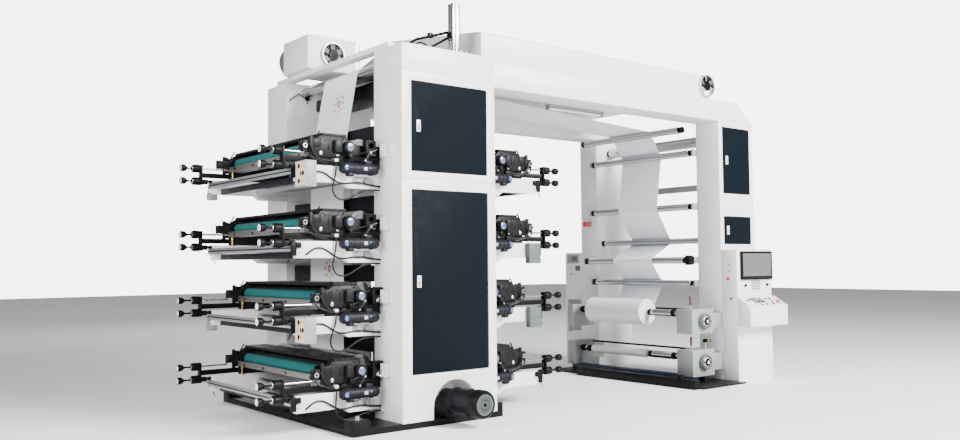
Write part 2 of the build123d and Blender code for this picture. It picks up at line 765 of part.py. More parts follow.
with BuildPart() as fan_box:
    box_low = tower_height + rail_height
    box_z = box_low + fan_box_height / 2
    block(fan_box_x[0], fan_box_x[1], fan_box_y[0], fan_box_y[1], box_low, box_low + fan_box_height)
    fan(sum(fan_box_x) / 2, box_z, fan_box_y[0])
    barrel(fan_box_x[0] + blower_radius, box_low + blower_radius, blower_radius,
           fan_box_y[1], fan_box_y[1] + blower_width)
fan_box.part.label = "fan_box"
export_step(fan_box.part, "parts/fan_box.step")

# Mast: a slotted square profile on the front housing, with the rods of its cable slide
with BuildPart() as mast:
    half_mast = mast_size / 2
    block(mast_x - half_mast, mast_x + half_mast, mast_y - half_mast, mast_y + half_mast,
          tower_height, tower_height + mast_height)
    for dx, dy in ((0, 1), (0, -1), (1, 0), (-1, 0)):
        groove_x, groove_y = mast_x + dx * half_mast, mast_y + dy * half_mast
        block(groove_x - mast_wall / 2, groove_x + mast_wall / 2, groove_y - mast_wall / 2,
              groove_y + mast_wall / 2, tower_height, tower_height + mast_height, mode=Mode.SUBTRACT)
mast.part.label = "mast"
export_step(mast.part, "parts/mast.step")


def beam(y0, y1):
    """A bridge beam from the tower to the far end of the winding tower, bevelled there."""
    with BuildSketch(Plane((0, y1, 0), x_dir=(1, 0, 0), z_dir=(0, -1, 0))) as profile:
        with BuildLine():
            Polyline((half_tower, beam_low), (bridge_end_x, beam_low), (bridge_end_x, beam_low + beam_toe),
                     (bevel_x, beam_high), (half_tower, beam_high), close=True)
        make_face()
    extrude(profile.sketch, amount=y1 - y0)


with BuildPart() as front_beam:
    beam(frame_front_y[0], frame_front_y[1])
    block(light_x[0], light_x[1], frame_front_y[1], frame_front_y[1] + light_size[0],
          beam_low, beam_low + light_size[1])
front_beam.part.label = "front_beam"
export_step(front_beam.part, "parts/front_beam.step")

with BuildPart() as rear_beam:
    beam(frame_rear_y[0], frame_rear_y[1])
rear_beam.part.label = "rear_beam"
export_step(rear_beam.part, "parts/rear_beam.step")

# Drying hood on the bridge: a ridged casing with soft long edges and a slanted far end
with BuildPart() as drying_hood:
    with BuildSketch(Plane((hood_x[0], 0, 0), x_dir=(0, 1, 0), z_dir=(1, 0, 0))) as hood_section:
        with BuildLine():
            Polyline((frame_front_y[0], beam_high), (frame_rear_y[1], beam_high),
                     (frame_rear_y[1], hood_high), (hood_rear_y, hood_crown),
                     (frame_front_y[0], hood_high), close=True)
        make_face()
        fillet(hood_section.vertices().filter_by(lambda v: v.Y > beam_high + 1 and v.X < 0), hood_edge_radius)
    extrude(amount=hood_x[1] - hood_x[0])
    with BuildSketch(Plane((0, frame_rear_y[1], 0), x_dir=(1, 0, 0), z_dir=(0, -1, 0))):
        with BuildLine():
            Polyline((hood_x[1] - hood_slant, beam_high), (hood_x[1], beam_high),
                     (hood_x[1], hood_high), close=True)
        make_face()
    extrude(amount=frame_rear_y[1] - frame_front_y[0], mode=Mode.SUBTRACT)
drying_hood.part.label = "drying_hood"
export_step(drying_hood.part, "parts/drying_hood.step")

# Round fans in the hood's front, near its far end
with BuildPart() as hood_fans:
    fan(hood_fan_x, hood_high - hood_fan_drop, frame_front_y[0])
hood_fans.part.label = "hood_fans"
export_step(hood_fans.part, "parts/hood_fans.step")

# Winding tower: two columns, a cabinet behind the rear one, the console before the front one
winder_doors_z = ((beam_low - upper_winder_door_drop - upper_winder_door_height,
                   beam_low - upper_winder_door_drop),
                  (lower_winder_door_sill, lower_winder_door_sill + lower_winder_door_height))
winder_door_x = (column_x[0] + winder_door_margin[0], column_x[1] - winder_door_margin[1])
with BuildPart() as winder_front_column:
    block(column_x[0], column_x[1], frame_front_y[0], frame_front_y[1], 0, beam_low)
    for z0, z1 in winder_doors_z:
        block(winder_door_x[0] - door_clearance, winder_door_x[1] + door_clearance,
              frame_front_y[0], frame_front_y[0] + door_thickness,
              z0 - door_clearance, z1 + door_clearance, mode=Mode.SUBTRACT)
winder_front_column.part.label = "winder_front_column"
export_step(winder_front_column.part, "parts/winder_front_column.step")

with BuildPart() as winder_doors:
    for z0, z1 in winder_doors_z:
        door_leaf(winder_door_x[0], winder_door_x[1], z0, z1, frame_front_y[0])
winder_doors.part.label = "winder_doors"
export_step(winder_doors.part, "parts/winder_doors.step")

with BuildPart() as winder_rear_column:
    block(column_x[0], column_x[1], frame_rear_y[0], frame_rear_y[1], 0, beam_low)
winder_rear_column.part.label = "winder_rear_column"
export_step(winder_rear_column.part, "parts/winder_rear_column.step")

with BuildPart() as rear_cabinet:
    block(column_x[0], column_x[1], frame_rear_y[1], rear_cabinet_y, 0, cabinet_high)
rear_cabinet.part.label = "rear_cabinet"
export_step(rear_cabinet.part, "parts/rear_cabinet.step")

with BuildPart() as console:
    block(column_x[0], column_x[1] + console_overhang, console_front_y, frame_front_y[0], 0, cabinet_high)
console.part.label = "console"
export_step(console.part, "parts/console.step")

# Sloped desk of the console
with BuildPart() as console_desk:
    desk_front_y = console_front_y - desk_reach
    with BuildSketch(Plane((column_x[0], 0, 0), x_dir=(0, 1, 0), z_dir=(1, 0, 0))):
        with BuildLine():
            Polyline((console_front_y, desk_low), (console_front_y, desk_back_high),
                     (desk_front_y, desk_high), (desk_front_y, desk_low), close=True)
        make_face()
    extrude(amount=desk_end_x - column_x[0])
console_desk.part.label = "console_desk"
export_step(console_desk.part, "parts/console_desk.step")

with BuildPart() as monitor:
    block(monitor_x[0], monitor_x[1], console_front_y - monitor_thickness, console_front_y,
          monitor_z[0], monitor_z[1])
monitor.part.label = "monitor"
export_step(monitor.part, "parts/monitor.step")

# Guide rollers of the winding tower, from the bridge down
winder_rollers = low_winder_rollers
for x, drop, radius, lay in reversed(high_winder_rollers):
    winder_rollers = ((x, beam_low - drop, radius, lay), *winder_rollers)

# Base of the winding tower: floor plate, outer rail and the rail under the winding blocks
block_left_x, block_right_x = shaft_x - block_left, shaft_x + block_right
upper_block_z = (shaft_z + block_rise - block_height, shaft_z + block_rise)
lower_block_z = (lower_shaft_z + lower_block_rise - lower_block_height, lower_shaft_z + lower_block_rise)
front_block_y = (-shaft_half_length - block_stand_off - block_depth, -shaft_half_length - block_stand_off)
rear_block_y = (shaft_half_length - bracket_inset, shaft_half_length + bracket_inset)
base_rail_x = (shaft_x - base_rail_setback[0], shaft_x - base_rail_setback[1])
with BuildPart() as winder_base:
    block(base_rail_x[0], base_rail_x[1], base_rail_y[0], base_rail_y[1], 0, base_rail_height)
    block(base_rail_x[1], column_x[0], floor_plate_y[0], floor_plate_y[1], 0, floor_plate_thickness)
    block(shaft_x - blue_rail_width / 2, shaft_x + blue_rail_width / 2, front_block_y[0], rear_block_y[1],
          floor_plate_thickness, lower_block_z[0])
winder_base.part.label = "winder_base"
export_step(winder_base.part, "parts/winder_base.step")

# Bearing plates that hold the outer guide rollers before the columns
with BuildPart() as roller_plates:
    for x, z, radius, lay in winder_rollers:
        if x + radius < column_x[0]:
            top = min(z + roller_plate_height / 2, beam_low)
            for y0, y1 in ((frame_front_y[1] - roller_plate_thickness, frame_front_y[1]),
                           (frame_rear_y[0], frame_rear_y[0] + roller_plate_thickness)):
                if z < beam_low:
                    block(x - radius, column_x[0], y0, y1, z - roller_plate_height / 2, top)
roller_plates.part.label = "roller_plates"
export_step(roller_plates.part, "parts/roller_plates.step")

# Guide rollers between the columns
with BuildPart() as winder_guide_rollers:
    for x, z, radius, lay in winder_rollers:
        barrel(x, z, radius, frame_front_y[1], frame_rear_y[0], guide_roller_sides)
winder_guide_rollers.part.label = "winder_guide_rollers"
export_step(winder_guide_rollers.part, "parts/winder_guide_rollers.step")

# Drive blocks of the two winding shafts, with hub flanges in front, and their rear bearings
bearing_depth = 100
shaft_end_gap = 10
with BuildPart() as winder_blocks:
    for (z0, z1), shaft_height in ((upper_block_z, shaft_z), (lower_block_z, lower_shaft_z)):
        block(block_left_x, block_right_x, front_block_y[0], front_block_y[1], z0, z1)
        block(block_left_x, block_right_x, rear_block_y[0], rear_block_y[1], z0, z1)
        for y0, y1 in (front_block_y, rear_block_y):
            block(block_right_x, column_x[0], max(y0, frame_front_y[0]), y1,
                  z0 + bracket_inset, z1 - bracket_inset)
        barrel(shaft_x + hub_shift, z1 - hub_drop - hub_radius, hub_radius,
               front_block_y[0] - hub_thickness, front_block_y[0], roller_sides)
        barrel(shaft_x, shaft_height, shaft_radius + running_clearance,
               front_block_y[1] - bearing_depth, front_block_y[1] + 1, mode=Mode.SUBTRACT)
        barrel(shaft_x, shaft_height, shaft_radius + running_clearance,
               rear_block_y[0] - 1, rear_block_y[0] + bearing_depth, mode=Mode.SUBTRACT)
winder_blocks.part.label = "winder_blocks"
export_step(winder_blocks.part, "parts/winder_blocks.step")

# Winding shafts, each with its roll or core: they turn in the blocks
shaft_y = (front_block_y[1] - bearing_depth + shaft_end_gap, rear_block_y[0] + bearing_depth - shaft_end_gap)
with BuildPart() as upper_roll:
    barrel(shaft_x, shaft_z, roll_radius, roll_y[0], roll_y[1])
    barrel(shaft_x, shaft_z, shaft_radius, shaft_y[0], shaft_y[1])
upper_roll.part.label = "upper_roll"
export_step(upper_roll.part, "parts/upper_roll.step")

with BuildPart() as lower_roll:
    barrel(shaft_x, lower_shaft_z, core_radius, roll_y[0], roll_y[1])
    barrel(shaft_x, lower_shaft_z, shaft_radius, shaft_y[0], shaft_y[1])
lower_roll.part.label = "lower_roll"
export_step(lower_roll.part, "parts/lower_roll.step")

with BuildPart() as warning_light:
    rod(light_y, light_z, light_radius, column_x[0] - light_length, column_x[0], roller_sides)
warning_light.part.label = "warning_light"
export_step(warning_light.part, "parts/warning_light.step")


def web_span(start, end):
    """A flat stretch of web from one roller to the next, tangent to both.

    Each roller is given by its centre, radius and the side the web passes on: 1 where the
    web keeps left of the roller as it travels, -1 where it keeps right of it.
    """
    (x0, z0, r0, side0), (x1, z1, r1, side1) = start, end
    length = hypot(x1 - x0, z1 - z0)
    along = ((x1 - x0) / length, (z1 - z0) / length)
    across = (-along[1], along[0])
    reach0, reach1 = side0 * (r0 + web_middle), side1 * (r1 + web_middle)
    lean = (reach0 - reach1) / length
    upright = sqrt(1 - lean * lean)
    normal = (lean * along[0] + upright * across[0], lean * along[1] + upright * across[1])
    half = web_thickness / 2
    corners = []
    for x, z, reach in ((x0, z0, reach0 - half), (x1, z1, reach1 - half),
                        (x1, z1, reach1 + half), (x0, z0, reach0 + half)):
        corners.append((x + reach * normal[0], z + reach * normal[1]))
    with BuildSketch(Plane((0, web_y + web_width / 2, 0), x_dir=(1, 0, 0), z_dir=(0, -1, 0))) as strip:
        with BuildLine():
            Polyline(*corners, close=True)
        make_face()
    extrude(strip.sketch, amount=web_width)


# Web: its flat stretches through the tower, over the bridge and down to the upper roll
web_route = tower_route + winder_rollers + ((shaft_x, shaft_z, roll_radius, 1),)
with BuildPart() as web:
    for start, end in zip(web_route, web_route[1:]):
        web_span(start, end)
web.part.label = "web"
export_step(web.part, "parts/web.step")


def cable_radii(route):
    """The bend radius at each inner point of a cable's route, as large as its runs allow."""
    radii = []
    for before, here, after in zip(route, route[1:], route[2:]):
        run_in, run_out = here - before, after - here
        turn = run_in.get_angle(run_out)
        shorter = min(run_in.length, run_out.length)
        radii.append(0.45 * shorter / tan(radians(turn / 2)))
    return radii


# Motor cables of the left decks
for number, (zd, points) in enumerate(zip(reversed(deck_heights), cable_points), start=1):
    route = [Vector(x, y, zd + z) for x, y, z in points]
    radii = cable_radii(route)
    with BuildPart() as cable:
        with BuildLine() as path:
            FilletPolyline(*route, radius=radii)
        with BuildSketch(Plane(path.line @ 0, z_dir=path.line % 0)):
            RegularPolygon(cable_radius, cable_sides)
        sweep()
    length = sum(edge.length for edge in path.edges())
    section = cable_sides / 2 * cable_radius ** 2 * sin(radians(360 / cable_sides))
    print("cable", number, "radii", [round(r) for r in radii], "length", round(length),
          "volume ratio", round(cable.part.volume / (section * length), 4))
    cable.part.label = f"motor_cable_{number}"
    export_step(cable.part, f"parts/motor_cable_{number}.step")
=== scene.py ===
import json
from math import atan2, cos, hypot, pi, radians, sin, sqrt

import bpy
from mathutils import Matrix, Vector


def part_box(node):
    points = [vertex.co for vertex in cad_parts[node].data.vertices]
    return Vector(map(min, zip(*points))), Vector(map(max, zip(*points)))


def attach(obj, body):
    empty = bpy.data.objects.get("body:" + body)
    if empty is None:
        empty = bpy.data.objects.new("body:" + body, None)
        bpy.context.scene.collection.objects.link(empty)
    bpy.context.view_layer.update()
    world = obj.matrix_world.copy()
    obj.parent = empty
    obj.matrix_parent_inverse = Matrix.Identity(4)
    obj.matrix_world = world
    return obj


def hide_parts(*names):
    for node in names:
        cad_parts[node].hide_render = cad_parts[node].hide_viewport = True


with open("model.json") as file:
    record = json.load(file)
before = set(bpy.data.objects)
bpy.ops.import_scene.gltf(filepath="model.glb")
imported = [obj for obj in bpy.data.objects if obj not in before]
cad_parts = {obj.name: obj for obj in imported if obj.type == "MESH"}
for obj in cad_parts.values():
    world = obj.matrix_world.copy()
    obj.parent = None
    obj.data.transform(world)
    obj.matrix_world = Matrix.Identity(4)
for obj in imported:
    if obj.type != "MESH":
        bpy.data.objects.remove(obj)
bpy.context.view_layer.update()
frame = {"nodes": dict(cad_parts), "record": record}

bl_info = {
    "name": "Stack flexographic press",
    "version": (1, 0, 0),
    "blender": (4, 5, 0),
    "location": "View3D > Sidebar > Press",
    "description": "Finishes and fittings of an eight-colour stack press around its frame",
    "category": "Object",
}

# Places shared by several pieces, in metres: X along the machine, Y to the rear, Z up. A shift is how
# far out the carriages, knobs, bored blocks or links stand on each deck, from the lowest deck up
DECK_HEIGHTS = (0.347, 1.059, 1.767, 2.483)
NO_SHIFT = (0, 0, 0, 0)
CARRIAGE_SHIFT = (0, 0, 0.120, 0.120)
KNOB_SHIFT = (0, 0, -0.020, -0.020)
BLOCK_SHIFT = (0, 0, 0.072, 0.072)
LINK_SHIFT = (0, 0, -0.066, -0.066)
SCREW_GAP = 0.137
ARM_Y = (-1.045, 0.915)
ARM_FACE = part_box("deck_arms")[0].y
CHEEK_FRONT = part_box("deck_cheeks")[0].y
TOWER_LOW, TOWER_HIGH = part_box("front_housing_upper")
FRONT_FACE = TOWER_LOW.y
HALF_TOWER = TOWER_HIGH.x
ROOF = TOWER_HIGH.z
BEAM_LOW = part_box("front_beam")[0]
BLOCKS_LOW, BLOCKS_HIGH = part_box("winder_blocks")
AXES = {joint["name"]: joint["pos_m"] for joint in frame["record"]["behaviour"]["joints"]}
WINDING_X, _, UPPER_SHAFT_Z = AXES["upper_shaft_spin"]
LOWER_SHAFT_Z = AXES["lower_shaft_spin"][2]
ROLL_RADIUS = 0.175
HUB_X = 4.157
HUB_FACE = BLOCKS_LOW.y + 0.0005
HUB_HEIGHTS = (0.800, 0.279)
BLOCK_TOPS = (BLOCKS_HIGH.z, 0.434)
CABINET_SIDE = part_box("rear_cabinet")[0].x + 0.001

# Turns that lay a piece made along +Z on another axis
TURN = {
    "X": Matrix.Rotation(pi / 2, 4, "Y"),
    "-X": Matrix.Rotation(-pi / 2, 4, "Y"),
    "Y": Matrix.Rotation(-pi / 2, 4, "X"),
    "-Y": Matrix.Rotation(pi / 2, 4, "X"),
    "Z": Matrix(),
}


class Wire:
    """A socket of a material's node tree that can be used in Python expressions."""

    def __init__(self, paint, socket):
        self.paint = paint
        self.socket = socket

    def maths(self, operation, first, second):
        return self.paint.node("ShaderNodeMath", {"operation": operation}, {0: first, 1: second})

    def __add__(self, other):
        return self.maths("ADD", self, other)

    def __radd__(self, other):
        return self.maths("ADD", other, self)

    def __sub__(self, other):
        return self.maths("SUBTRACT", self, other)

    def __rsub__(self, other):
        return self.maths("SUBTRACT", other, self)

    def __mul__(self, other):
        return self.maths("MULTIPLY", self, other)

    def __rmul__(self, other):
        return self.maths("MULTIPLY", other, self)

    def __mod__(self, other):
        return self.maths("FLOORED_MODULO", self, other)

    def __gt__(self, other):
        return self.maths("GREATER_THAN", self, other)

    def __lt__(self, other):
        return self.maths("LESS_THAN", self, other)


class Paint:
    """One node based material and its shader."""

    def __init__(self, name, colour, roughness, metallic=0.0, **constants):
        self.material = bpy.data.materials.new(name)
        self.material.use_nodes = True
        self.tree = self.material.node_tree
        self.shader = self.tree.nodes["Principled BSDF"]
        self.shader.inputs["Base Color"].default_value = (*colour, 1)
        self.shader.inputs["Roughness"].default_value = roughness
        self.shader.inputs["Metallic"].default_value = metallic
        for socket, value in constants.items():
            self.shader.inputs[socket.replace("_", " ")].default_value = value
        PAINTS[name] = self.material

    def node(self, kind, settings, inputs, output=0):
        """Adds a node: its settings first, then a value or a wire for each named socket."""
        node = self.tree.nodes.new(kind)
        for name, value in settings.items():
            setattr(node, name, value)
        for name, value in inputs.items():
            if isinstance(value, Wire):
                self.tree.links.new(value.socket, node.inputs[name])
            else:
                node.inputs[name].default_value = value
        return Wire(self, node.outputs[output])

    def place(self, scale=(1, 1, 1)):
        """Object coordinates, stretched."""
        at = self.node("ShaderNodeTexCoord", {}, {}, "Object")
        return self.node("ShaderNodeMapping", {}, {"Vector": at, "Scale": scale})

    def noise(self, scale, detail=3.0, stretch=(1, 1, 1)):
        """Grey noise of a given number of waves a metre, centred on a half."""
        return self.node(
            "ShaderNodeTexNoise", {}, {"Vector": self.place(stretch), "Scale": scale, "Detail": detail},
            "Fac")

    def spread(self, amount, low, high, start=0.0, end=1.0):
        """Takes the stretch from low to high of an amount to the one from start to end."""
        return self.node(
            "ShaderNodeMapRange", {},
            {"Value": amount, "From Min": low, "From Max": high, "To Min": start, "To Max": end})

    def mix(self, amount, first, second):
        """A colour between two colours or wires."""
        ends = [end if isinstance(end, Wire) else (*end, 1) for end in (first, second)]
        return self.node("ShaderNodeMix", {"data_type": "RGBA"}, {0: amount, 6: ends[0], 7: ends[1]}, 2)

    def feed(self, socket, wire):
        self.tree.links.new(wire.socket, self.shader.inputs[socket])

    def bump(self, height, strength, distance=0.001):
        """Raises the surface by a height field."""
        self.feed(
            "Normal",
            self.node("ShaderNodeBump", {}, {"Height": height, "Strength": strength, "Distance": distance}))


PAINTS = {}


def shade(colour, factor):
    """A colour made lighter or darker."""
    return tuple(min(1.0, channel * factor) for channel in colour)


def powder_coat(name, colour, roughness, sheen=0.5):
    """Sprayed paint: orange peel, faint clouding and a little dust that dulls it."""
    paint = Paint(name, colour, roughness, Specular_IOR_Level=sheen)
    cloud = paint.noise(1.7, 4)
    paint.feed("Base Color", paint.mix(cloud, shade(colour, 0.95), shade(colour, 1.04)))
    paint.feed("Roughness", paint.spread(paint.noise(11, 3), 0.3, 0.7, roughness - 0.06, roughness + 0.08))
    paint.bump(paint.noise(420, 2), 0.2, 0.0004)


def casting(name, colour, roughness):
    """Painted casting: a coarse skin with rubbed, lighter patches."""
    paint = Paint(name, colour, roughness, Specular_IOR_Level=0.14)
    worn = paint.spread(paint.noise(30, 6), 0.56, 0.72)
    paint.feed("Base Color", paint.mix(worn, colour, shade(colour, 1.6)))
    paint.feed("Roughness", paint.spread(paint.noise(44, 4), 0.3, 0.7, roughness - 0.1, roughness + 0.12))
    paint.bump(paint.noise(230, 4), 0.25, 0.0006)


def worked_metal(name, colour, roughness, stretch):
    """Turned, ground or drawn metal: fine marks that run one way."""
    paint = Paint(name, colour, roughness, 1.0)
    marks = paint.noise(70, 5, stretch)
    paint.feed("Base Color", paint.mix(marks, shade(colour, 0.84), shade(colour, 1.1)))
    paint.feed("Roughness", paint.spread(marks, 0.3, 0.7, roughness - 0.05, roughness + 0.1))
    paint.bump(marks, 0.1, 0.0003)


def rubber(name, colour, roughness):
    """Dull rubber with a fine skin and rubbed patches."""
    paint = Paint(name, colour, roughness, Specular_IOR_Level=0.2)
    cloud = paint.noise(12, 4, (1, 0.2, 1))
    paint.feed("Base Color", paint.mix(cloud, shade(colour, 0.8), shade(colour, 1.2)))
    paint.feed("Roughness", paint.spread(cloud, 0.3, 0.7, roughness - 0.08, roughness + 0.08))
    paint.bump(paint.noise(600, 2), 0.15, 0.0003)


def moulding(name, colour, roughness):
    """Glossy moulded plastic with a faint texture."""
    paint = Paint(name, colour, roughness, Coat_Weight=0.5)
    cloud = paint.noise(60, 2)
    paint.feed("Base Color", paint.mix(cloud, shade(colour, 0.86), shade(colour, 1.14)))
    paint.feed("Roughness", paint.spread(cloud, 0.3, 0.7, roughness - 0.05, roughness + 0.08))


# Generic print on the web: a rosette of dots in each repeat, as place along, place across,
# radius and colour
PRINT_REPEAT = 0.505
PRINT_DOTS = (
    (0.140, 0.300, 0.105, (0.93, 0.90, 0.62)), (0.140, 0.300, 0.088, (0.80, 0.81, 0.84)),
    (0.140, 0.300, 0.038, (0.62, 0.06, 0.30)), (0.140, 0.300, 0.016, (0.86, 0.80, 0.20)),
    (0.235, 0.300, 0.022, (0.86, 0.74, 0.06)), (0.045, 0.300, 0.022, (0.86, 0.74, 0.06)),
    (0.140, 0.395, 0.022, (0.30, 0.58, 0.16)), (0.140, 0.205, 0.022, (0.30, 0.58, 0.16)),
    (0.207, 0.367, 0.018, (0.66, 0.10, 0.42)), (0.073, 0.233, 0.018, (0.66, 0.10, 0.42)),
    (0.207, 0.233, 0.018, (0.16, 0.40, 0.66)), (0.073, 0.367, 0.018, (0.16, 0.40, 0.66)),
)


def printed_film(name, colour, printed_length):
    """White film with a dotted rosette printed once a repeat along its first stretch."""
    paint = Paint(name, colour, 0.3)
    at = paint.node("ShaderNodeUVMap", {"uv_map": "travel"}, {})
    along = paint.node("ShaderNodeSeparateXYZ", {}, {0: at}, 0)
    across = paint.node("ShaderNodeSeparateXYZ", {}, {0: at}, 1)
    repeat = along % PRINT_REPEAT
    spot = paint.node("ShaderNodeCombineXYZ", {}, {0: repeat, 1: across})
    printed = along < printed_length
    ink = paint.mix(paint.noise(2.5, 3), shade(colour, 0.96), shade(colour, 1.04))
    for dot_along, dot_across, radius, dot_colour in PRINT_DOTS:
        away = paint.node(
            "ShaderNodeVectorMath", {"operation": "DISTANCE"}, {0: spot, 1: (dot_along, dot_across, 0)},
            "Value")
        ink = paint.mix((away < radius) * printed, ink, dot_colour)
    dashes = (repeat < 0.003) * ((across % 0.024) < 0.014) * printed
    paint.feed("Base Color", paint.mix(dashes, ink, (0.35, 0.35, 0.37)))
    paint.feed("Roughness", paint.spread(paint.noise(6, 3, (1, 0.1, 1)), 0.3, 0.7, 0.22, 0.38))
    paint.bump(paint.noise(3.5, 2, (1, 0.25, 1)), 0.25, 0.004)


def wound_film(name, colour, centre_x, centre_z):
    """The end of a wound roll shows its layers as fine rings."""
    paint = Paint(name, colour, 0.35)
    at = paint.node("ShaderNodeTexCoord", {}, {}, "Object")
    flat = paint.node(
        "ShaderNodeMapping", {}, {"Vector": at, "Location": (-centre_x, 0, -centre_z), "Scale": (1, 0, 1)})
    radius = paint.node("ShaderNodeVectorMath", {"operation": "LENGTH"}, {0: flat}, "Value")
    rings = paint.node(
        "ShaderNodeTexNoise", {"noise_dimensions": "1D"}, {"W": radius, "Scale": 900, "Detail": 2}, "Fac")
    paint.feed("Base Color", paint.mix(rings, shade(colour, 0.86), shade(colour, 1.05)))
    paint.bump(rings, 0.2, 0.0006)


def deselect():
    if bpy.context.object and bpy.context.object.mode != "OBJECT":
        bpy.ops.object.mode_set(mode="OBJECT")
    bpy.ops.object.select_all(action="DESELECT")


def settle(piece, place):
    """Moves a piece's mesh to its place, with its object left at the origin."""
    piece.data.transform(place @ piece.matrix_basis)
    piece.matrix_basis = Matrix()
    return piece


def box(x0, x1, y0, y1, z0, z1, edge=0.003, segments=2):
    """A block between two corners, with its edges rounded."""
    deselect()
    bpy.ops.mesh.primitive_cube_add(size=1)
    bpy.ops.object.mode_set(mode="EDIT")
    bpy.ops.transform.resize(value=(abs(x1 - x0), abs(y1 - y0), abs(z1 - z0)), center_override=(0, 0, 0))
    bpy.ops.mesh.bevel(offset=edge, segments=segments)
    bpy.ops.object.mode_set(mode="OBJECT")
    return settle(bpy.context.object, Matrix.Translation(((x0 + x1) / 2, (y0 + y1) / 2, (z0 + z1) / 2)))


def turned(place, axis, profile, sides=32):
    """A turned piece: it starts as a disc and is drawn out by (distance, radius) steps."""
    deselect()
    (along, radius), *steps = profile
    bpy.ops.mesh.primitive_circle_add(
        vertices=sides, radius=radius, fill_type="NGON", location=(0, 0, along))
    bpy.ops.object.mode_set(mode="EDIT")
    for next_along, next_radius in steps:
        bpy.ops.mesh.extrude_region_move(TRANSFORM_OT_translate={"value": (0, 0, next_along - along)})
        if next_radius != radius:
            size = next_radius / radius
            bpy.ops.transform.resize(value=(size, size, 1), center_override=(0, 0, next_along))
        along, radius = next_along, next_radius
    bpy.ops.mesh.select_all(action="SELECT")
    bpy.ops.mesh.normals_make_consistent(inside=False)
    bpy.ops.object.mode_set(mode="OBJECT")
    return settle(bpy.context.object, Matrix.Translation(place) @ TURN[axis])


def bent(points, radius, order=2):
    """A bar or pipe that follows points: straight runs at order 2, a smooth line at order 3."""
    deselect()
    line = bpy.data.curves.new("bent", "CURVE")
    line.dimensions = "3D"
    line.bevel_depth = radius
    line.bevel_resolution = 2
    line.use_fill_caps = True
    spline = line.splines.new("NURBS")
    spline.points.add(len(points) - 1)
    for point, place in zip(spline.points, points):
        point.co = (*place, 1)
    spline.order_u = order
    spline.use_endpoint_u = True
    spline.resolution_u = 6 if order > 2 else 1
    piece = bpy.data.objects.new("bent", line)
    bpy.context.collection.objects.link(piece)
    piece.select_set(True)
    bpy.context.view_layer.objects.active = piece
    bpy.ops.object.convert(target="MESH")
    return bpy.context.object


def spread(pieces, places):
    """Copies of pieces at several places, each with its own mesh. The pieces themselves go."""
    copies = []
    for piece in pieces:
        for place in places:
            copy = piece.copy()
            copy.data = piece.data.copy()
            copy.data.transform(place)
            bpy.context.collection.objects.link(copy)
            copies.append(copy)
        bpy.data.objects.remove(piece)
    return copies


def about_y(x, z, count, start=0.0):
    """Places of copies of a piece around an axis along Y."""
    centre = Matrix.Translation((x, 0, z))
    return [centre @ Matrix.Rotation(start + 2 * pi * step / count, 4, "Y") @ centre.inverted()
            for step in range(count)]


def decks(shifts=NO_SHIFT, heights=DECK_HEIGHTS, sides=(1, -1)):
    """Places of the decks: fittings are modelled on a left deck, and mirrored for the right."""
    shift_at = dict(zip(DECK_HEIGHTS, shifts))
    return [Matrix.Scale(side, 4, (1, 0, 0)) @ Matrix.Translation((-shift_at[height], 0, height))
            for side in sides for height in heights]


def finish(name, paint, pieces, body="press", replaces=(), smooth=32):
    """Joins pieces of one finish into a named one that rides on a body."""
    deselect()
    for piece in pieces:
        piece.select_set(True)
    bpy.context.view_layer.objects.active = pieces[0]
    if len(pieces) > 1:
        bpy.ops.object.join()
    whole = bpy.context.object
    whole.name = name
    whole.data.name = name
    bpy.ops.object.mode_set(mode="EDIT")
    bpy.ops.mesh.select_all(action="SELECT")
    bpy.ops.mesh.normals_make_consistent(inside=False)
    bpy.ops.object.mode_set(mode="OBJECT")
    bpy.ops.object.shade_smooth_by_angle(angle=radians(smooth))
    whole.data.materials.clear()
    whole.data.materials.append(PAINTS[paint])
    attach(whole, body)
    if replaces:
        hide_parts(*replaces)
    return whole


def on_decks(name, paint, pieces, shifts=NO_SHIFT, replaces=()):
    """Puts pieces of a left deck on every deck and joins them into a named one."""
    return finish(name, paint, spread(pieces, decks(shifts)), replaces=replaces)


def dress(node, paint, edge=0.003, body="press", angle=35):
    """A CAD node with its edges rounded: its mesh is copied, cleaned and bevelled."""
    deselect()
    piece = bpy.data.objects.new(node + "_body", frame["nodes"][node].data.copy())
    bpy.context.collection.objects.link(piece)
    piece.select_set(True)
    bpy.context.view_layer.objects.active = piece
    bpy.ops.object.mode_set(mode="EDIT")
    bpy.ops.mesh.select_all(action="SELECT")
    bpy.ops.mesh.remove_doubles(threshold=0.00003)
    bpy.ops.mesh.dissolve_limited(angle_limit=radians(1))
    bpy.ops.object.mode_set(mode="OBJECT")
    bevel = piece.modifiers.new("edges", "BEVEL")
    bevel.width = edge
    bevel.segments = 2
    bevel.limit_method = "ANGLE"
    bevel.angle_limit = radians(angle)
    bpy.ops.object.modifier_apply(modifier="edges")
    return finish(node + "_body", paint, [piece], body, (node,))


def rod(place, axis, radius, length, sides):
    """A plain round bar."""
    return turned(place, axis, ((0, radius), (length, radius)), sides)


def bolt(place, axis, radius=0.009, head=0.006):
    """A socket head screw with its hollow."""
    return turned(place, axis, (
        (0, radius), (head * 0.8, radius), (head, radius * 0.85), (head, radius * 0.5),
        (head * 0.4, radius * 0.5)), 12)


def seam(x0, x1, y0, y1, z0, z1):
    """A thin joint strip on a face."""
    return box(x0, x1, y0, y1, z0, z1, 0.0004, 1)


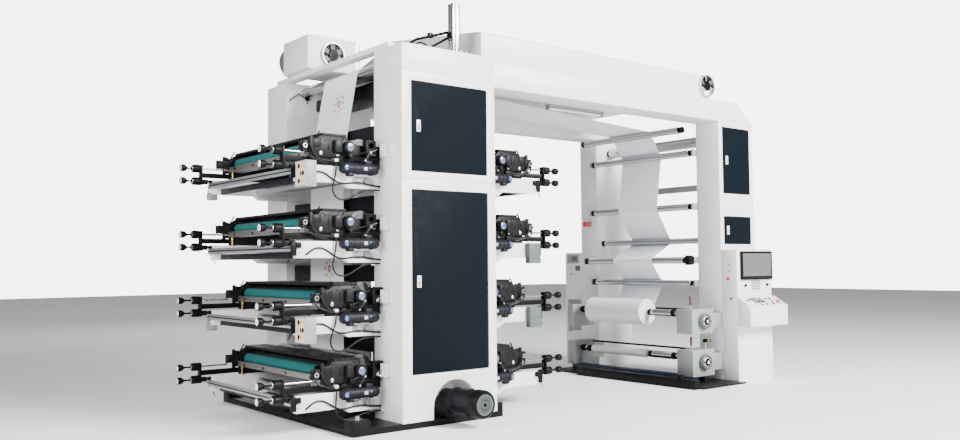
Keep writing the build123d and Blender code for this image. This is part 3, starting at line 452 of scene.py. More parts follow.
class PressColours(bpy.types.PropertyGroup):
    """Colours of the machine's finishes."""

    white: bpy.props.FloatVectorProperty(
        name="White", description="Powder coat of the housings", subtype="COLOR",
        default=(0.80, 0.80, 0.79))
    grey: bpy.props.FloatVectorProperty(
        name="Grey", description="Powder coat of the winding blocks", subtype="COLOR",
        default=(0.25, 0.257, 0.262))
    navy: bpy.props.FloatVectorProperty(
        name="Navy", description="Paint of the door panels", subtype="COLOR",
        default=(0.0035, 0.0058, 0.0085))
    teal: bpy.props.FloatVectorProperty(
        name="Teal", description="Cover of the ink rollers", subtype="COLOR", default=(0.006, 0.10, 0.10))
    iron: bpy.props.FloatVectorProperty(
        name="Iron", description="Painted castings of the decks", subtype="COLOR",
        default=(0.007, 0.007, 0.0075))


class StageSettings(bpy.types.PropertyGroup):
    """Camera and light."""

    eye: bpy.props.FloatVectorProperty(
        name="Eye", description="Where the camera stands", subtype="XYZ", unit="LENGTH",
        default=(-5.319, -8.588, 1.560))
    yaw: bpy.props.FloatProperty(
        name="Yaw", description="Turn of the view towards +X", subtype="ANGLE", default=radians(38.6))
    pitch: bpy.props.FloatProperty(
        name="Pitch", description="Upward tilt of the view", subtype="ANGLE", default=radians(2.8))
    roll: bpy.props.FloatProperty(
        name="Roll", description="Turn about the line of sight", subtype="ANGLE", default=radians(-0.5))
    lens: bpy.props.FloatProperty(
        name="Lens", description="Focal length on a 36 mm wide image", subtype="DISTANCE_CAMERA",
        default=33.68)
    light: bpy.props.FloatProperty(
        name="Light", description="Strength of the room's even light", default=0.42, min=0)
    backdrop: bpy.props.FloatProperty(
        name="Backdrop", description="Brightness of the plain backdrop", default=6.0, min=0)


class PRESS_OT_stage(bpy.types.Operator):
    """Lay the floor, hang the lights and set up the camera"""

    bl_idname = "press.stage"
    bl_label = "Stage"

    def execute(self, context):
        settings = context.scene.press_stage
        deselect()
        bpy.ops.mesh.primitive_plane_add(size=80, location=(2, 2, -0.001))
        floor = context.object
        floor.name = "studio_floor"
        paint = Paint("floor_paint", (0.9, 0.9, 0.9), 0.6)
        paint.feed("Base Color", paint.mix(paint.noise(0.6, 3), (0.9, 0.9, 0.9), (0.94, 0.94, 0.94)))
        floor.data.materials.append(paint.material)
        for name, place, aim, size, power in (
                ("key_light", (5, -13, 8.5), (1.5, -1, 1.5), 5, 7200),
                ("side_light", (-6, -2.5, 3.2), (-0.4, -1, 2.0), 3, 520),
                ("rear_light", (6, 13, 9), (2, 0, 2), 8, 600)):
            lamp = bpy.data.lights.new(name, "AREA")
            lamp.energy = power
            lamp.size = size
            holder = bpy.data.objects.new(name, lamp)
            holder.location = place
            holder.rotation_euler = (Vector(aim) - Vector(place)).to_track_quat("-Z", "Y").to_euler()
            context.collection.objects.link(holder)
        world = bpy.data.worlds.new("studio")
        world.use_nodes = True
        nodes, links = world.node_tree.nodes, world.node_tree.links
        room = nodes["Background"]
        room.inputs["Color"].default_value = (0.97, 0.98, 1.0, 1)
        room.inputs["Strength"].default_value = settings.light
        backdrop = nodes.new("ShaderNodeBackground")
        backdrop.inputs["Color"].default_value = (1.0, 1.0, 1.0, 1)
        backdrop.inputs["Strength"].default_value = settings.backdrop
        seen = nodes.new("ShaderNodeMixShader")
        links.new(nodes.new("ShaderNodeLightPath").outputs["Is Camera Ray"], seen.inputs[0])
        links.new(room.outputs[0], seen.inputs[1])
        links.new(backdrop.outputs[0], seen.inputs[2])
        links.new(seen.outputs[0], nodes["World Output"].inputs["Surface"])
        context.scene.world = world
        camera = bpy.data.cameras.new("photo_view")
        camera.lens = settings.lens
        camera.sensor_width = 36
        holder = bpy.data.objects.new("photo_view", camera)
        holder.matrix_world = (
            Matrix.Translation(settings.eye) @ Matrix.Rotation(-settings.yaw, 4, "Z") @ Matrix.Rotation(
                pi / 2 + settings.pitch, 4, "X") @ Matrix.Rotation(settings.roll, 4, "Z"))
        context.collection.objects.link(holder)
        context.scene.camera = holder
        return {"FINISHED"}


# The finish of each material slot on a node that keeps its own mesh
SLOT_FINISH = {
    "white_paint": "white_coat", "grey_paint": "grey_coat", "navy_paint": "navy_coat",
    "black_paint": "black_coat", "dark_iron": "deck_iron", "roller_chrome": "chrome",
    "anilox_ceramic": "anilox", "teal_rubber": "teal_rubber", "bare_aluminium": "drawn_aluminium",
    "tray_steel": "tray_sheet", "red_plastic": "red_lens", "film_web": "white_plastic",
    "motor_paint": "motor_coat", "cable_black": "cable_rubber",
}


class PRESS_OT_finishes(bpy.types.Operator):
    """Mix the machine's paints, metals, rubbers and plastics"""

    bl_idname = "press.finishes"
    bl_label = "Finishes"

    def execute(self, context):
        colours = context.scene.press_colours
        powder_coat("white_coat", tuple(colours.white), 0.36)
        powder_coat("shell_coat", shade(tuple(colours.white), 0.93), 0.42)
        powder_coat("grey_coat", tuple(colours.grey), 0.4)
        powder_coat("navy_coat", tuple(colours.navy), 0.55, 0.04)
        powder_coat("navy_rail", (0.020, 0.035, 0.10), 0.35, 0.3)
        powder_coat("black_coat", (0.003, 0.003, 0.0033), 0.42, 0.12)
        powder_coat("motor_coat", (0.010, 0.010, 0.013), 0.45, 0.15)
        powder_coat("blower_coat", (0.10, 0.115, 0.11), 0.45, 0.3)
        casting("deck_iron", tuple(colours.iron), 0.42)
        casting("anilox", (0.010, 0.010, 0.011), 0.3)
        worked_metal("chrome", (0.50, 0.51, 0.525), 0.16, (1, 0.04, 1))
        worked_metal("turned_steel", (0.50, 0.51, 0.53), 0.25, (1, 1, 1))
        worked_metal("drawn_aluminium", (0.56, 0.585, 0.59), 0.42, (1, 0.03, 1))
        worked_metal("tray_sheet", (0.42, 0.385, 0.36), 0.42, (1, 0.05, 1))
        worked_metal("brass", (0.56, 0.40, 0.14), 0.3, (1, 1, 1))
        rubber("teal_rubber", tuple(colours.teal), 0.4)
        rubber("cable_rubber", (0.008, 0.008, 0.008), 0.45)
        moulding("red_lens", (0.62, 0.012, 0.010), 0.14)
        moulding("blue_lens", (0.05, 0.12, 0.36), 0.2)
        moulding("white_plastic", (0.80, 0.82, 0.84), 0.3)
        moulding("yellow_plastic", (0.72, 0.48, 0.06), 0.3)
        moulding("brown_plastic", (0.07, 0.014, 0.010), 0.4)
        moulding("lavender_plate", (0.40, 0.40, 0.62), 0.35)
        moulding("panel_beige", (0.62, 0.50, 0.42), 0.45)
        moulding("screen_glass", (0.11, 0.115, 0.12), 0.1)
        printed_film("film", (0.88, 0.90, 0.94), 5.2)
        wound_film("roll_film", (0.82, 0.83, 0.86), WINDING_X, UPPER_SHAFT_Z)
        for row in frame["record"]["subparts"]:
            node = frame["nodes"][row["node"]]
            node.data.materials.clear()
            node.data.materials.append(PAINTS[SLOT_FINISH[row["material_slot"]]])
        return {"FINISHED"}


# Motor cables: height of the deck's lower screw, length along the cable, and its route as X, Y
# and height over that screw
CABLE_DIAMETER = 0.016
CABLES = (
    (2.483, 0.862, (
        (-1.085, -1.100, 0.060), (-1.085, -1.100, -0.014), (-1.098, -1.102, -0.094),
        (-1.122, -1.103, -0.170), (-1.120, -1.104, -0.240), (-1.076, -1.106, -0.292),
        (-1.002, -1.108, -0.304), (-0.925, -1.111, -0.278), (-0.852, -1.114, -0.230),
        (-0.780, -1.118, -0.200), (-0.700, -1.120, -0.195), (-0.605, -1.120, -0.195))),
    (1.767, 0.874, (
        (-1.085, -1.100, 0.060), (-1.085, -1.100, -0.016), (-1.096, -1.102, -0.092),
        (-1.118, -1.103, -0.166), (-1.124, -1.104, -0.238), (-1.090, -1.106, -0.294),
        (-1.018, -1.108, -0.314), (-0.942, -1.111, -0.292), (-0.868, -1.114, -0.246),
        (-0.794, -1.118, -0.208), (-0.704, -1.120, -0.195), (-0.605, -1.120, -0.195))),
    (1.059, 0.907, (
        (-1.085, -1.100, 0.060), (-1.085, -1.100, -0.012), (-1.108, -1.102, -0.090),
        (-1.140, -1.103, -0.164), (-1.150, -1.104, -0.240), (-1.114, -1.106, -0.298),
        (-1.040, -1.108, -0.314), (-0.962, -1.111, -0.284), (-0.886, -1.114, -0.236),
        (-0.806, -1.118, -0.202), (-0.708, -1.120, -0.195), (-0.605, -1.120, -0.195))),
    (0.347, 0.748, (
        (-1.085, -1.100, 0.060), (-1.085, -1.100, -0.014), (-1.091, -1.102, -0.088),
        (-1.093, -1.103, -0.160), (-1.060, -1.105, -0.220), (-0.996, -1.107, -0.245),
        (-0.920, -1.110, -0.236), (-0.844, -1.113, -0.216), (-0.766, -1.117, -0.200),
        (-0.686, -1.120, -0.195), (-0.605, -1.120, -0.195))),)


class PRESS_OT_cables(bpy.types.Operator):
    """Hang the motor cables between the carriages and the housing"""

    bl_idname = "press.cables"
    bl_label = "Motor cables"

    def execute(self, context):
        for number, (height, length, points) in enumerate(CABLES, start=1):
            line = bpy.data.curves.new(f"hanging_cable_{number}", "CURVE")
            line.dimensions = "3D"
            line.bevel_depth = CABLE_DIAMETER / 2
            line.bevel_resolution = 3
            line.use_fill_caps = True
            spline = line.splines.new("NURBS")
            spline.points.add(len(points) - 1)
            for point, (x, y, z) in zip(spline.points, points):
                point.co = (x, y, height + z, 1)
            spline.order_u = 3
            spline.use_endpoint_u = True
            spline.resolution_u = 8
            line.materials.append(PAINTS["cable_rubber"])
            cable = bpy.data.objects.new(f"hanging_cable_{number}", line)
            context.collection.objects.link(cable)
            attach(cable, "press")
            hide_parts(f"motor_cable_{number}")
            x, y, z = points[0]
        return {"FINISHED"}


class PRESS_OT_housings(bpy.types.Operator):
    """Dress the tower's housings, base and rails"""

    bl_idname = "press.housings"
    bl_label = "Housings"

    def execute(self, context):
        for node in ("front_housing_lower", "front_housing_upper", "rear_housing"):
            dress(node, "white_coat", 0.004)
        dress("tower_base", "black_coat", 0.004)
        dress("cross_tray", "white_coat", 0.004)
        dress("inner_panels", "motor_coat", 0.006)
        dress("junction_boxes", "white_coat", 0.003)
        seams = [seam(
            -HALF_TOWER + 0.02, HALF_TOWER - 0.02, FRONT_FACE - 0.0004, FRONT_FACE + 0.002, 0.452, 0.455)]
        for side in (-1, 1):
            for y in (FRONT_FACE + 0.055, -1.015):
                seams.append(seam(
                    side * (HALF_TOWER + 0.0004), side * (HALF_TOWER - 0.002), y, y + 0.003, 0.12, 3.42))
        finish("housing_seams", "grey_coat", seams)
        screws = []
        for side in (-1, 1):
            for height in (0.18, 0.9, 1.6, 2.3, 2.48, 3.0, 3.38):
                screws.append(
                    bolt((side * HALF_TOWER, FRONT_FACE + 0.03, height), "X" if side > 0 else "-X", 0.006))
        finish("housing_screws", "turned_steel", screws)
        nuts = []
        for x in (-1.025, 0.613):
            for y in (-1.38, 1.38):
                nuts.append(turned((x, y, 0.139), "Z", (
                    (0, 0.028), (0.008, 0.028), (0.010, 0.019), (0.034, 0.019), (0.037, 0.015)), 12))
        finish("base_nuts", "turned_steel", nuts)
        return {"FINISHED"}


def pull(x, y, z):
    """A pill-shaped flush pull: its raised rim, the hollow in it and its button."""
    rim = box(x - 0.023, x + 0.023, y - 0.012, y + 0.001, z - 0.058, z + 0.058, 0.0045, 3)
    hollow = box(x - 0.008, x + 0.008, y - 0.0128, y - 0.002, z - 0.040, z + 0.004, 0.003)
    button = turned((x, y - 0.0115, z + 0.030), "-Y", ((0, 0.006), (0.001, 0.006), (0.0013, 0.004)), 16)
    return rim, hollow, button


# Distance of a pull from its door's edge, and heights of the pulls on the winding tower's doors
PULL_INSET = 0.075
WINDER_PULLS = (2.918, 1.981)


class PRESS_OT_doors(bpy.types.Operator):
    """Hang the navy doors with their pulls"""

    bl_idname = "press.doors"
    bl_label = "Doors"

    def execute(self, context):
        for node, body, pulls in (
                ("tower_lower_door", "lower_door", ()), ("tower_upper_door", "press", ()),
                ("winder_doors", "press", WINDER_PULLS)):
            dress(node, "navy_coat", 0.002, body)
            low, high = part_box(node)
            heights = pulls or ((low.z + high.z) / 2,)
            parts = zip(*(pull(low.x + PULL_INSET, low.y + 0.010, z) for z in heights))
            for part, paint, pieces in zip(
                    ("rims", "hollows", "buttons"), ("white_plastic", "black_coat", "turned_steel"), parts):
                finish(f"{node}_pull_{part}", paint, list(pieces), body)
        return {"FINISHED"}


class PRESS_OT_main_motor(bpy.types.Operator):
    """Build the finned main motor in its arch"""

    bl_idname = "press.main_motor"
    bl_label = "Main motor"

    def execute(self, context):
        x, z = 0.045, 0.228
        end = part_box("main_motor")[0].y
        body = [turned((x, end + 0.110, z), "Y", (
            (0, 0.105), (0.010, 0.112), (0.300, 0.112), (0.305, 0.120), (0.325, 0.120), (0.330, 0.125),
            (0.352, 0.125), (0.356, 0.100), (0.52, 0.100)), 48)]
        fin = box(x - 0.0022, x + 0.0022, end + 0.118, FRONT_FACE - 0.02, z + 0.108, z + 0.1245, 0.0015, 1)
        body += spread([fin], about_y(x, z, 36))
        body.append(box(x - 0.100, x + 0.100, FRONT_FACE + 0.01, FRONT_FACE + 0.31, 0.062, z, 0.006))
        body.append(box(x - 0.085, x + 0.085, end + 0.20, end + 0.42, 0.062, z - 0.09, 0.004))
        body.append(box(x - 0.055, x + 0.055, end + 0.23, end + 0.35, z + 0.105, z + 0.130, 0.008))
        finish("main_motor_body", "motor_coat", body, replaces=("main_motor",))
        cowl = [turned((x, end, z), "Y", (
            (0.016, 0.100), (0, 0.104), (0, 0.116), (0.006, 0.122), (0.020, 0.132), (0.034, 0.137),
            (0.120, 0.137), (0.123, 0.134), (0.123, 0.115)), 48)]
        finish("main_motor_cowl", "black_coat", cowl)
        grille = [turned((x, end + 0.006, z), "Y", ((0, 0.099), (0.006, 0.099), (0.006, 0.04)), 48)]
        finish("main_motor_grille", "blower_coat", grille)
        slots = spread(
            [box(x - 0.003, x + 0.003, end + 0.003, end + 0.008, z + 0.034, z + 0.088, 0.0012, 1)],
            about_y(x, z, 24))
        slots.append(turned((x, end + 0.004, z), "Y", ((0, 0.022), (0.004, 0.024)), 24))
        slots += spread([bolt((x, end + 0.0035, z + 0.108), "-Y", 0.005, 0.003)], about_y(x, z, 4, pi / 4))
        finish("main_motor_slots", "black_coat", slots)
        return {"FINISHED"}


def roller(x, z, radius, half_length, sides=48):
    """A deck's roller with stepped faces and a journal at each end."""
    front, rear, journal = -1.025, 0.895, 0.024
    low, high = -half_length - front, half_length - front
    return turned((x, front, z), "Y", (
        (0, journal * 0.85), (0.004, journal), (low - 0.012, journal), (low - 0.012, radius * 0.62),
        (low, radius * 0.66), (low, radius - 0.003), (low + 0.003, radius), (high - 0.003, radius),
        (high, radius - 0.003), (high, radius * 0.66), (high + 0.012, radius * 0.62),
        (high + 0.012, journal), (rear - front - 0.004, journal), (rear - front, journal * 0.85)), sides)


class PRESS_OT_deck_rollers(bpy.types.Operator):
    """Put the rollers and trays into the eight decks"""

    bl_idname = "press.deck_rollers"
    bl_label = "Deck rollers"

    def execute(self, context):
        on_decks(
            "anilox_rollers_turned", "anilox", [roller(-0.998, 0.238, 0.052, 0.800)], CARRIAGE_SHIFT,
            replaces=("anilox_rollers",))
        on_decks(
            "plate_rollers_turned", "anilox", [roller(-0.865, 0.222, 0.076, 0.800)], CARRIAGE_SHIFT,
            replaces=("plate_rollers",))
        on_decks(
            "impression_rollers_turned", "chrome", [roller(-0.673, 0.222, 0.114, 0.850, sides=64)],
            replaces=("impression_rollers",))
        guides = [turned((-0.930, -1.015, -0.090), "Y", (
            (0, 0.052), (0.003, 0.055), (1.897, 0.055), (1.900, 0.052)), 48)]
        on_decks("deck_guide_rollers_turned", "drawn_aluminium", guides, replaces=("deck_guide_rollers",))
        number = 0
        for side in (-1, 1):
            for height, shift in zip(reversed(DECK_HEIGHTS), reversed(CARRIAGE_SHIFT)):
                number += 1
                x, z = side * (1.108 + shift), height + 0.197
                body = f"ink_roller_body_{number}"
                cover = turned((x, -0.785, z), "Y", (
                    (0, 0.040), (0, 0.0565), (0.0015, 0.058), (1.5685, 0.058), (1.570, 0.0565),
                    (1.570, 0.040)), 56)
                finish(
                    f"ink_roller_cover_{number}", "teal_rubber", [cover], body, (f"ink_roller_{number}",))
                core = turned((x, -1.085, z), "Y", (
                    (0, 0.020), (0.003, 0.0235), (0.285, 0.0235), (0.285, 0.044), (0.293, 0.050),
                    (0.297, 0.050), (1.873, 0.050), (1.877, 0.050), (1.885, 0.044), (1.885, 0.0235),
                    (2.037, 0.0235), (2.040, 0.020)), 32)
                finish(f"ink_roller_core_{number}", "black_coat", [core], body)
        dress("ink_trays", "tray_sheet", 0.0012)
        clips = [
            box(-1.1915, -1.187, y - 0.016, y + 0.016, 0.122, 0.150, 0.001, 1)
            for y in (-0.78, -0.26, 0.26, 0.72)]
        on_decks("tray_clips", "deck_iron", clips, CARRIAGE_SHIFT)
        return {"FINISHED"}


class PRESS_OT_deck_frames(bpy.types.Operator):
    """Dress the arms, cheeks, slides, bars and castings of the decks"""

    bl_idname = "press.deck_frames"
    bl_label = "Deck frames"

    def execute(self, context):
        dress("deck_arms", "white_coat", 0.004)
        dress("deck_cheeks", "deck_iron", 0.004)
        dress("screw_rails", "black_coat", 0.002)
        dress("deck_fittings", "deck_iron", 0.0025)
        bars = [box(-1.520, -1.490, -1.075, 0.945, -0.075, -0.015, 0.002)]
        bars += [box(-1.5212, -1.516, -1.074, 0.944, z, z + 0.004, 0.001, 1) for z in (-0.060, -0.035)]
        on_decks("deck_bars_drawn", "drawn_aluminium", bars, replaces=("deck_bars",))
        # A dark bar below and inward of each drawn bar, and a dark strip along the middle of the drawn
        # bar's outer face between its two ribs: painted shade of the bar's groove
        dark = [box(-1.400, -1.370, -1.015, 0.885, -0.140, -0.080, 0.002),
                box(-1.5208, -1.516, -1.074, 0.944, -0.052, -0.038, 0.001, 1)]
        on_decks("deck_bars_dark_and_groove_shade", "motor_coat", dark)
        self.cheek_plates()
        self.cheek_marks()
        return {"FINISHED"}

    def cheek_plates(self):
        """The cast plates and ribs on the cheeks."""
        plates = [box(-1.206, -0.930, -1.087, -1.064, 0.100, 0.272, 0.005),
                  box(-1.238, -1.206, -1.097, -1.064, 0.090, 0.292, 0.004),
                  box(-1.206, -1.120, -1.093, -1.080, 0.190, 0.262, 0.004),
                  box(-0.985, -0.905, -1.125, -1.064, 0.150, 0.262, 0.007),
                  box(-1.020, -0.915, -1.100, -1.064, 0.050, 0.092, 0.004),
                  box(-1.300, -1.238, -1.079, -1.064, 0.145, 0.245, 0.004),
                  box(-1.200, -0.930, 0.934, 0.955, 0.100, 0.272, 0.005),
                  box(-1.232, -1.200, 0.934, 0.967, 0.090, 0.292, 0.004)]
        for y in (-1.076, 0.888):
            plates.append(
                turned((-1.282, y, 0.195), "-Y", ((0, 0.034), (0.008, 0.034), (0.012, 0.029)), 24))
        on_decks("cheek_plates", "deck_iron", plates, CARRIAGE_SHIFT)
        dark = [box(-1.047, -1.029, -1.0885, -1.080, 0.168, 0.256, 0.003)]
        for x in (-0.965, -1.000):
            dark.append(box(x - 0.013, x + 0.013, -1.0885, -1.080, 0.112, 0.142, 0.003))
        for x in (-0.878, -0.940, -1.002, -1.064):
            dark.append(box(x - 0.004, x + 0.004, -1.060, 0.930, 0.322, 0.3305, 0.002, 1))
        on_decks("cheek_slots_and_blades", "black_coat", dark, CARRIAGE_SHIFT)

    def cheek_marks(self):
        """Bearing rings, caps and screws of the cheeks and arms."""
        rings = []
        for y in (-1.080, 0.894):
            rings.append(turned((-1.282, y, 0.195), "-Y", (
                (0, 0.024), (0.009, 0.024), (0.011, 0.021), (0.011, 0.014), (0.004, 0.014)), 28))
        rings.append(
            turned((-1.120, -1.086, 0.134), "-Y", ((0, 0.019), (0.003, 0.019), (0.006, 0.014)), 24))
        rings.append(turned((-0.943, -1.086, 0.122), "-Y", (
            (0, 0.016), (0.006, 0.016), (0.014, 0.012), (0.018, 0.006)), 20))
        on_decks("cheek_rings", "turned_steel", rings, CARRIAGE_SHIFT)
        screws = [bolt((x, -1.0865, z), "-Y", 0.007, 0.005) for x in (-1.192, -1.075, -0.995, -0.942)
                  for z in (0.112, 0.258)]
        screws += [
            bolt((x, -1.0645, z), "-Y", 0.009)
            for x, z in (
                (-1.150, 0.040), (-1.040, 0.036), (-0.900, 0.036), (-0.760, 0.036), (-0.870, 0.285))]
        screws += [
            bolt((x, 0.9345, z), "Y", 0.009)
            for x, z in (
                (-1.150, 0.040), (-0.900, 0.036), (-0.760, 0.150), (-1.000, 0.285), (-0.870, 0.285))]
        on_decks("cheek_screws", "black_coat", screws, CARRIAGE_SHIFT)
        arm_screws = [
            bolt((x, ARM_FACE + 0.0005, z), "-Y", 0.010)
            for x, z in ((-0.600, -0.020), (-0.600, -0.150), (-1.460, -0.090))]
        on_decks("arm_screws", "turned_steel", arm_screws)


class PRESS_OT_adjusting_screws(bpy.types.Operator):
    """Turn the sleeves, necks and dials of the adjusting screws"""

    bl_idname = "press.adjusting_screws"
    bl_label = "Adjusting screws"

    def execute(self, context):
        sleeves, bodies, collars, faces, marks, rods, black = [], [], [], [], [], [], []
        for y in ARM_Y:
            for z in (0, SCREW_GAP):
                sleeves.append(turned((-1.6245, y, z), "-X", (
                    (0, 0.036), (0.003, 0.042), (0.008, 0.0440), (0.070, 0.0440), (0.080, 0.042),
                    (0.0895, 0.034), (0.0895, 0.027), (0.083, 0.027), (0.083, 0.020), (0.089, 0.020),
                    (0.089, 0.010)), 36))
                bodies.append(turned((-1.690, y, z), "-X", (
                    (0, 0.0095), (0.092, 0.0095), (0.096, 0.014), (0.102, 0.016), (0.110, 0.027),
                    (0.122, 0.0345), (0.136, 0.0375), (0.166, 0.0378), (0.1695, 0.0365),
                    (0.1695, 0.0338)), 32))
                collars.append(turned((-1.7115, y, z), "-X", (
                    (0, 0.030), (0.002, 0.0325), (0.005, 0.0325), (0.007, 0.030)), 32))
                faces.append(
                    turned((-1.8575, y, z), "-X", ((0, 0.0336), (0.0014, 0.0336), (0.0022, 0.031)), 32))
                marks.append(
                    turned((-1.8565, y, z), "-X", ((0, 0.007), (0.0028, 0.007), (0.0032, 0.005)), 12))
                for step in range(10):
                    marks.append(settle(
                        box(-1.8592, -1.857, -0.0010, 0.0010, 0.0235, 0.0290, 0.0003, 1),
                        Matrix.Translation((0, y, z)) @ Matrix.Rotation(radians(36 * step), 4, "X")))
            rods.append(rod((-1.605, y, SCREW_GAP), "X", 0.010, 0.300, 20))
            black.append(turned(
                (-1.605, y, 0), "X", ((0, 0.012), (0.080, 0.012), (0.082, 0.019), (0.114, 0.019)), 20))
            black.append(box(-1.600, -1.540, y - 0.020, y + 0.020, -0.030, 0.022, 0.004))
        on_decks("screw_sleeves", "black_coat", sleeves, replaces=("adjusting_screws",))
        on_decks("screw_bodies", "black_coat", bodies, KNOB_SHIFT)
        on_decks("sleeve_collars", "turned_steel", collars)
        on_decks("dial_faces", "white_plastic", faces, KNOB_SHIFT)
        on_decks("dial_marks", "black_coat", marks, KNOB_SHIFT)
        on_decks("slide_rods", "chrome", rods)
        on_decks("slide_ends", "black_coat", black)
        return {"FINISHED"}


class PRESS_OT_deck_drives(bpy.types.Operator):
    """Fit the decks' geared motors, links, blocks and levers"""

    bl_idname = "press.deck_drives"
    bl_label = "Deck drives"

    def execute(self, context):
        y = -1.137
        body = [
            turned((-1.055, y, 0), "X", (
                (0, 0.030), (0.004, 0.044), (0.018, 0.053), (0.055, 0.056), (0.057, 0.061), (0.080, 0.061),
                (0.082, 0.054), (0.120, 0.054), (0.122, 0.058), (0.130, 0.058), (0.132, 0.054),
                (0.185, 0.054), (0.187, 0.058), (0.195, 0.058), (0.197, 0.054), (0.315, 0.054),
                (0.317, 0.061), (0.342, 0.061), (0.345, 0.057), (0.388, 0.052), (0.400, 0.044)), 32),
            box(-0.771, -0.713, -1.120, -1.074, -0.030, 0.022, 0.004),
            box(-0.800, -0.725, -1.172, -1.105, 0.040, 0.082, 0.006),
            box(-0.990, -0.930, -1.170, -1.110, -0.078, -0.045, 0.005)]
        on_decks("drive_motors", "motor_coat", body, replaces=("gear_motors",))
        motor_x, motor_z = -0.830, 0.205
        side = [turned((motor_x, CHEEK_FRONT + 0.001, motor_z), "-Y", (
            (0, 0.057), (0.050, 0.057), (0.052, 0.053), (0.058, 0.053), (0.060, 0.057), (0.070, 0.057),
            (0.084, 0.050), (0.084, 0.036), (0.079, 0.036)), 36)]
        on_decks("carriage_motors", "motor_coat", side, CARRIAGE_SHIFT)
        lenses = [turned((motor_x, -1.140, motor_z), "-Y", (
            (0, 0.028), (0.004, 0.028), (0.007, 0.018), (0.008, 0.006)), 28)]
        on_decks("carriage_motor_lenses", "blue_lens", lenses, CARRIAGE_SHIFT)
        rings = [turned((motor_x, -1.142, motor_z), "-Y", (
            (0, 0.034), (0.005, 0.034), (0.006, 0.032), (0.006, 0.029), (0.001, 0.029)), 28)]
        on_decks("carriage_motor_rings", "turned_steel", rings, CARRIAGE_SHIFT)
        drive_lenses = [
            turned((-1.018, y - 0.050, 0), "-Y", ((0, 0.024), (0.004, 0.024), (0.006, 0.016)), 24),
            rod((-0.755, y - 0.050, 0.010), "-Y", 0.011, 0.006, 16)]
        on_decks("drive_motor_lenses", "blue_lens", drive_lenses)
        label = [box(-0.830, -0.792, y - 0.057, y - 0.050, -0.016, 0.016, 0.001, 1)]
        on_decks("drive_motor_labels", "lavender_plate", label)
        self.links()
        return {"FINISHED"}

    def links(self):
        """The links, levers and rods around the drives."""
        link = settle(
            box(-0.011, 0.011, -0.006, 0.006, -0.058, 0.058, 0.004),
            Matrix.Translation((-0.862, -1.205, 0.118)) @ Matrix.Rotation(radians(36), 4, "Y"))
        pins = [turned((x, -1.145, z), "-Y", ((0, 0.010), (0.066, 0.010), (0.069, 0.007)), 12)
                for x, z in ((-0.832, 0.159), (-0.892, 0.077))]
        on_decks("drive_links", "motor_coat", [link], LINK_SHIFT)
        on_decks("drive_link_pins", "turned_steel", pins, LINK_SHIFT)
        block = [turned((-0.645, -1.1345, 0.236), "-Y", (
            (0, 0.033), (0.004, 0.033), (0.005, 0.030), (0.005, 0.026), (0, 0.026)), 28)]
        block += [bolt((x, -1.1345, z), "-Y", 0.008) for x in (-0.606, -0.684) for z in (0.146, 0.270)]
        on_decks("bored_block_rims", "black_coat", block, BLOCK_SHIFT)
        chrome = [bent(((-0.64, -1.128, 0.175), (-0.64, -1.165, 0.175), (-0.61, -1.178, 0.196)), 0.006),
                  bent(((-0.66, -1.128, 0.150), (-0.66, -1.160, 0.150), (-0.625, -1.172, 0.140)), 0.006),
                  turned((-0.655, -1.134, 0.165), "-Y", ((0, 0.016), (0.012, 0.016), (0.016, 0.010)), 16)]
        on_decks("block_levers", "chrome", chrome, BLOCK_SHIFT)
        bars = [rod((-0.925, -1.125, 0.104), "X", 0.0065, 0.320, 12),
                bent(((-0.945, -1.125, 0.118), (-0.900, -1.128, 0.124), (-0.775, -1.130, 0.166)), 0.008),
                box(-0.960, -0.920, -1.140, -1.060, 0.095, 0.135, 0.006)]
        on_decks("drive_bars", "black_coat", bars)


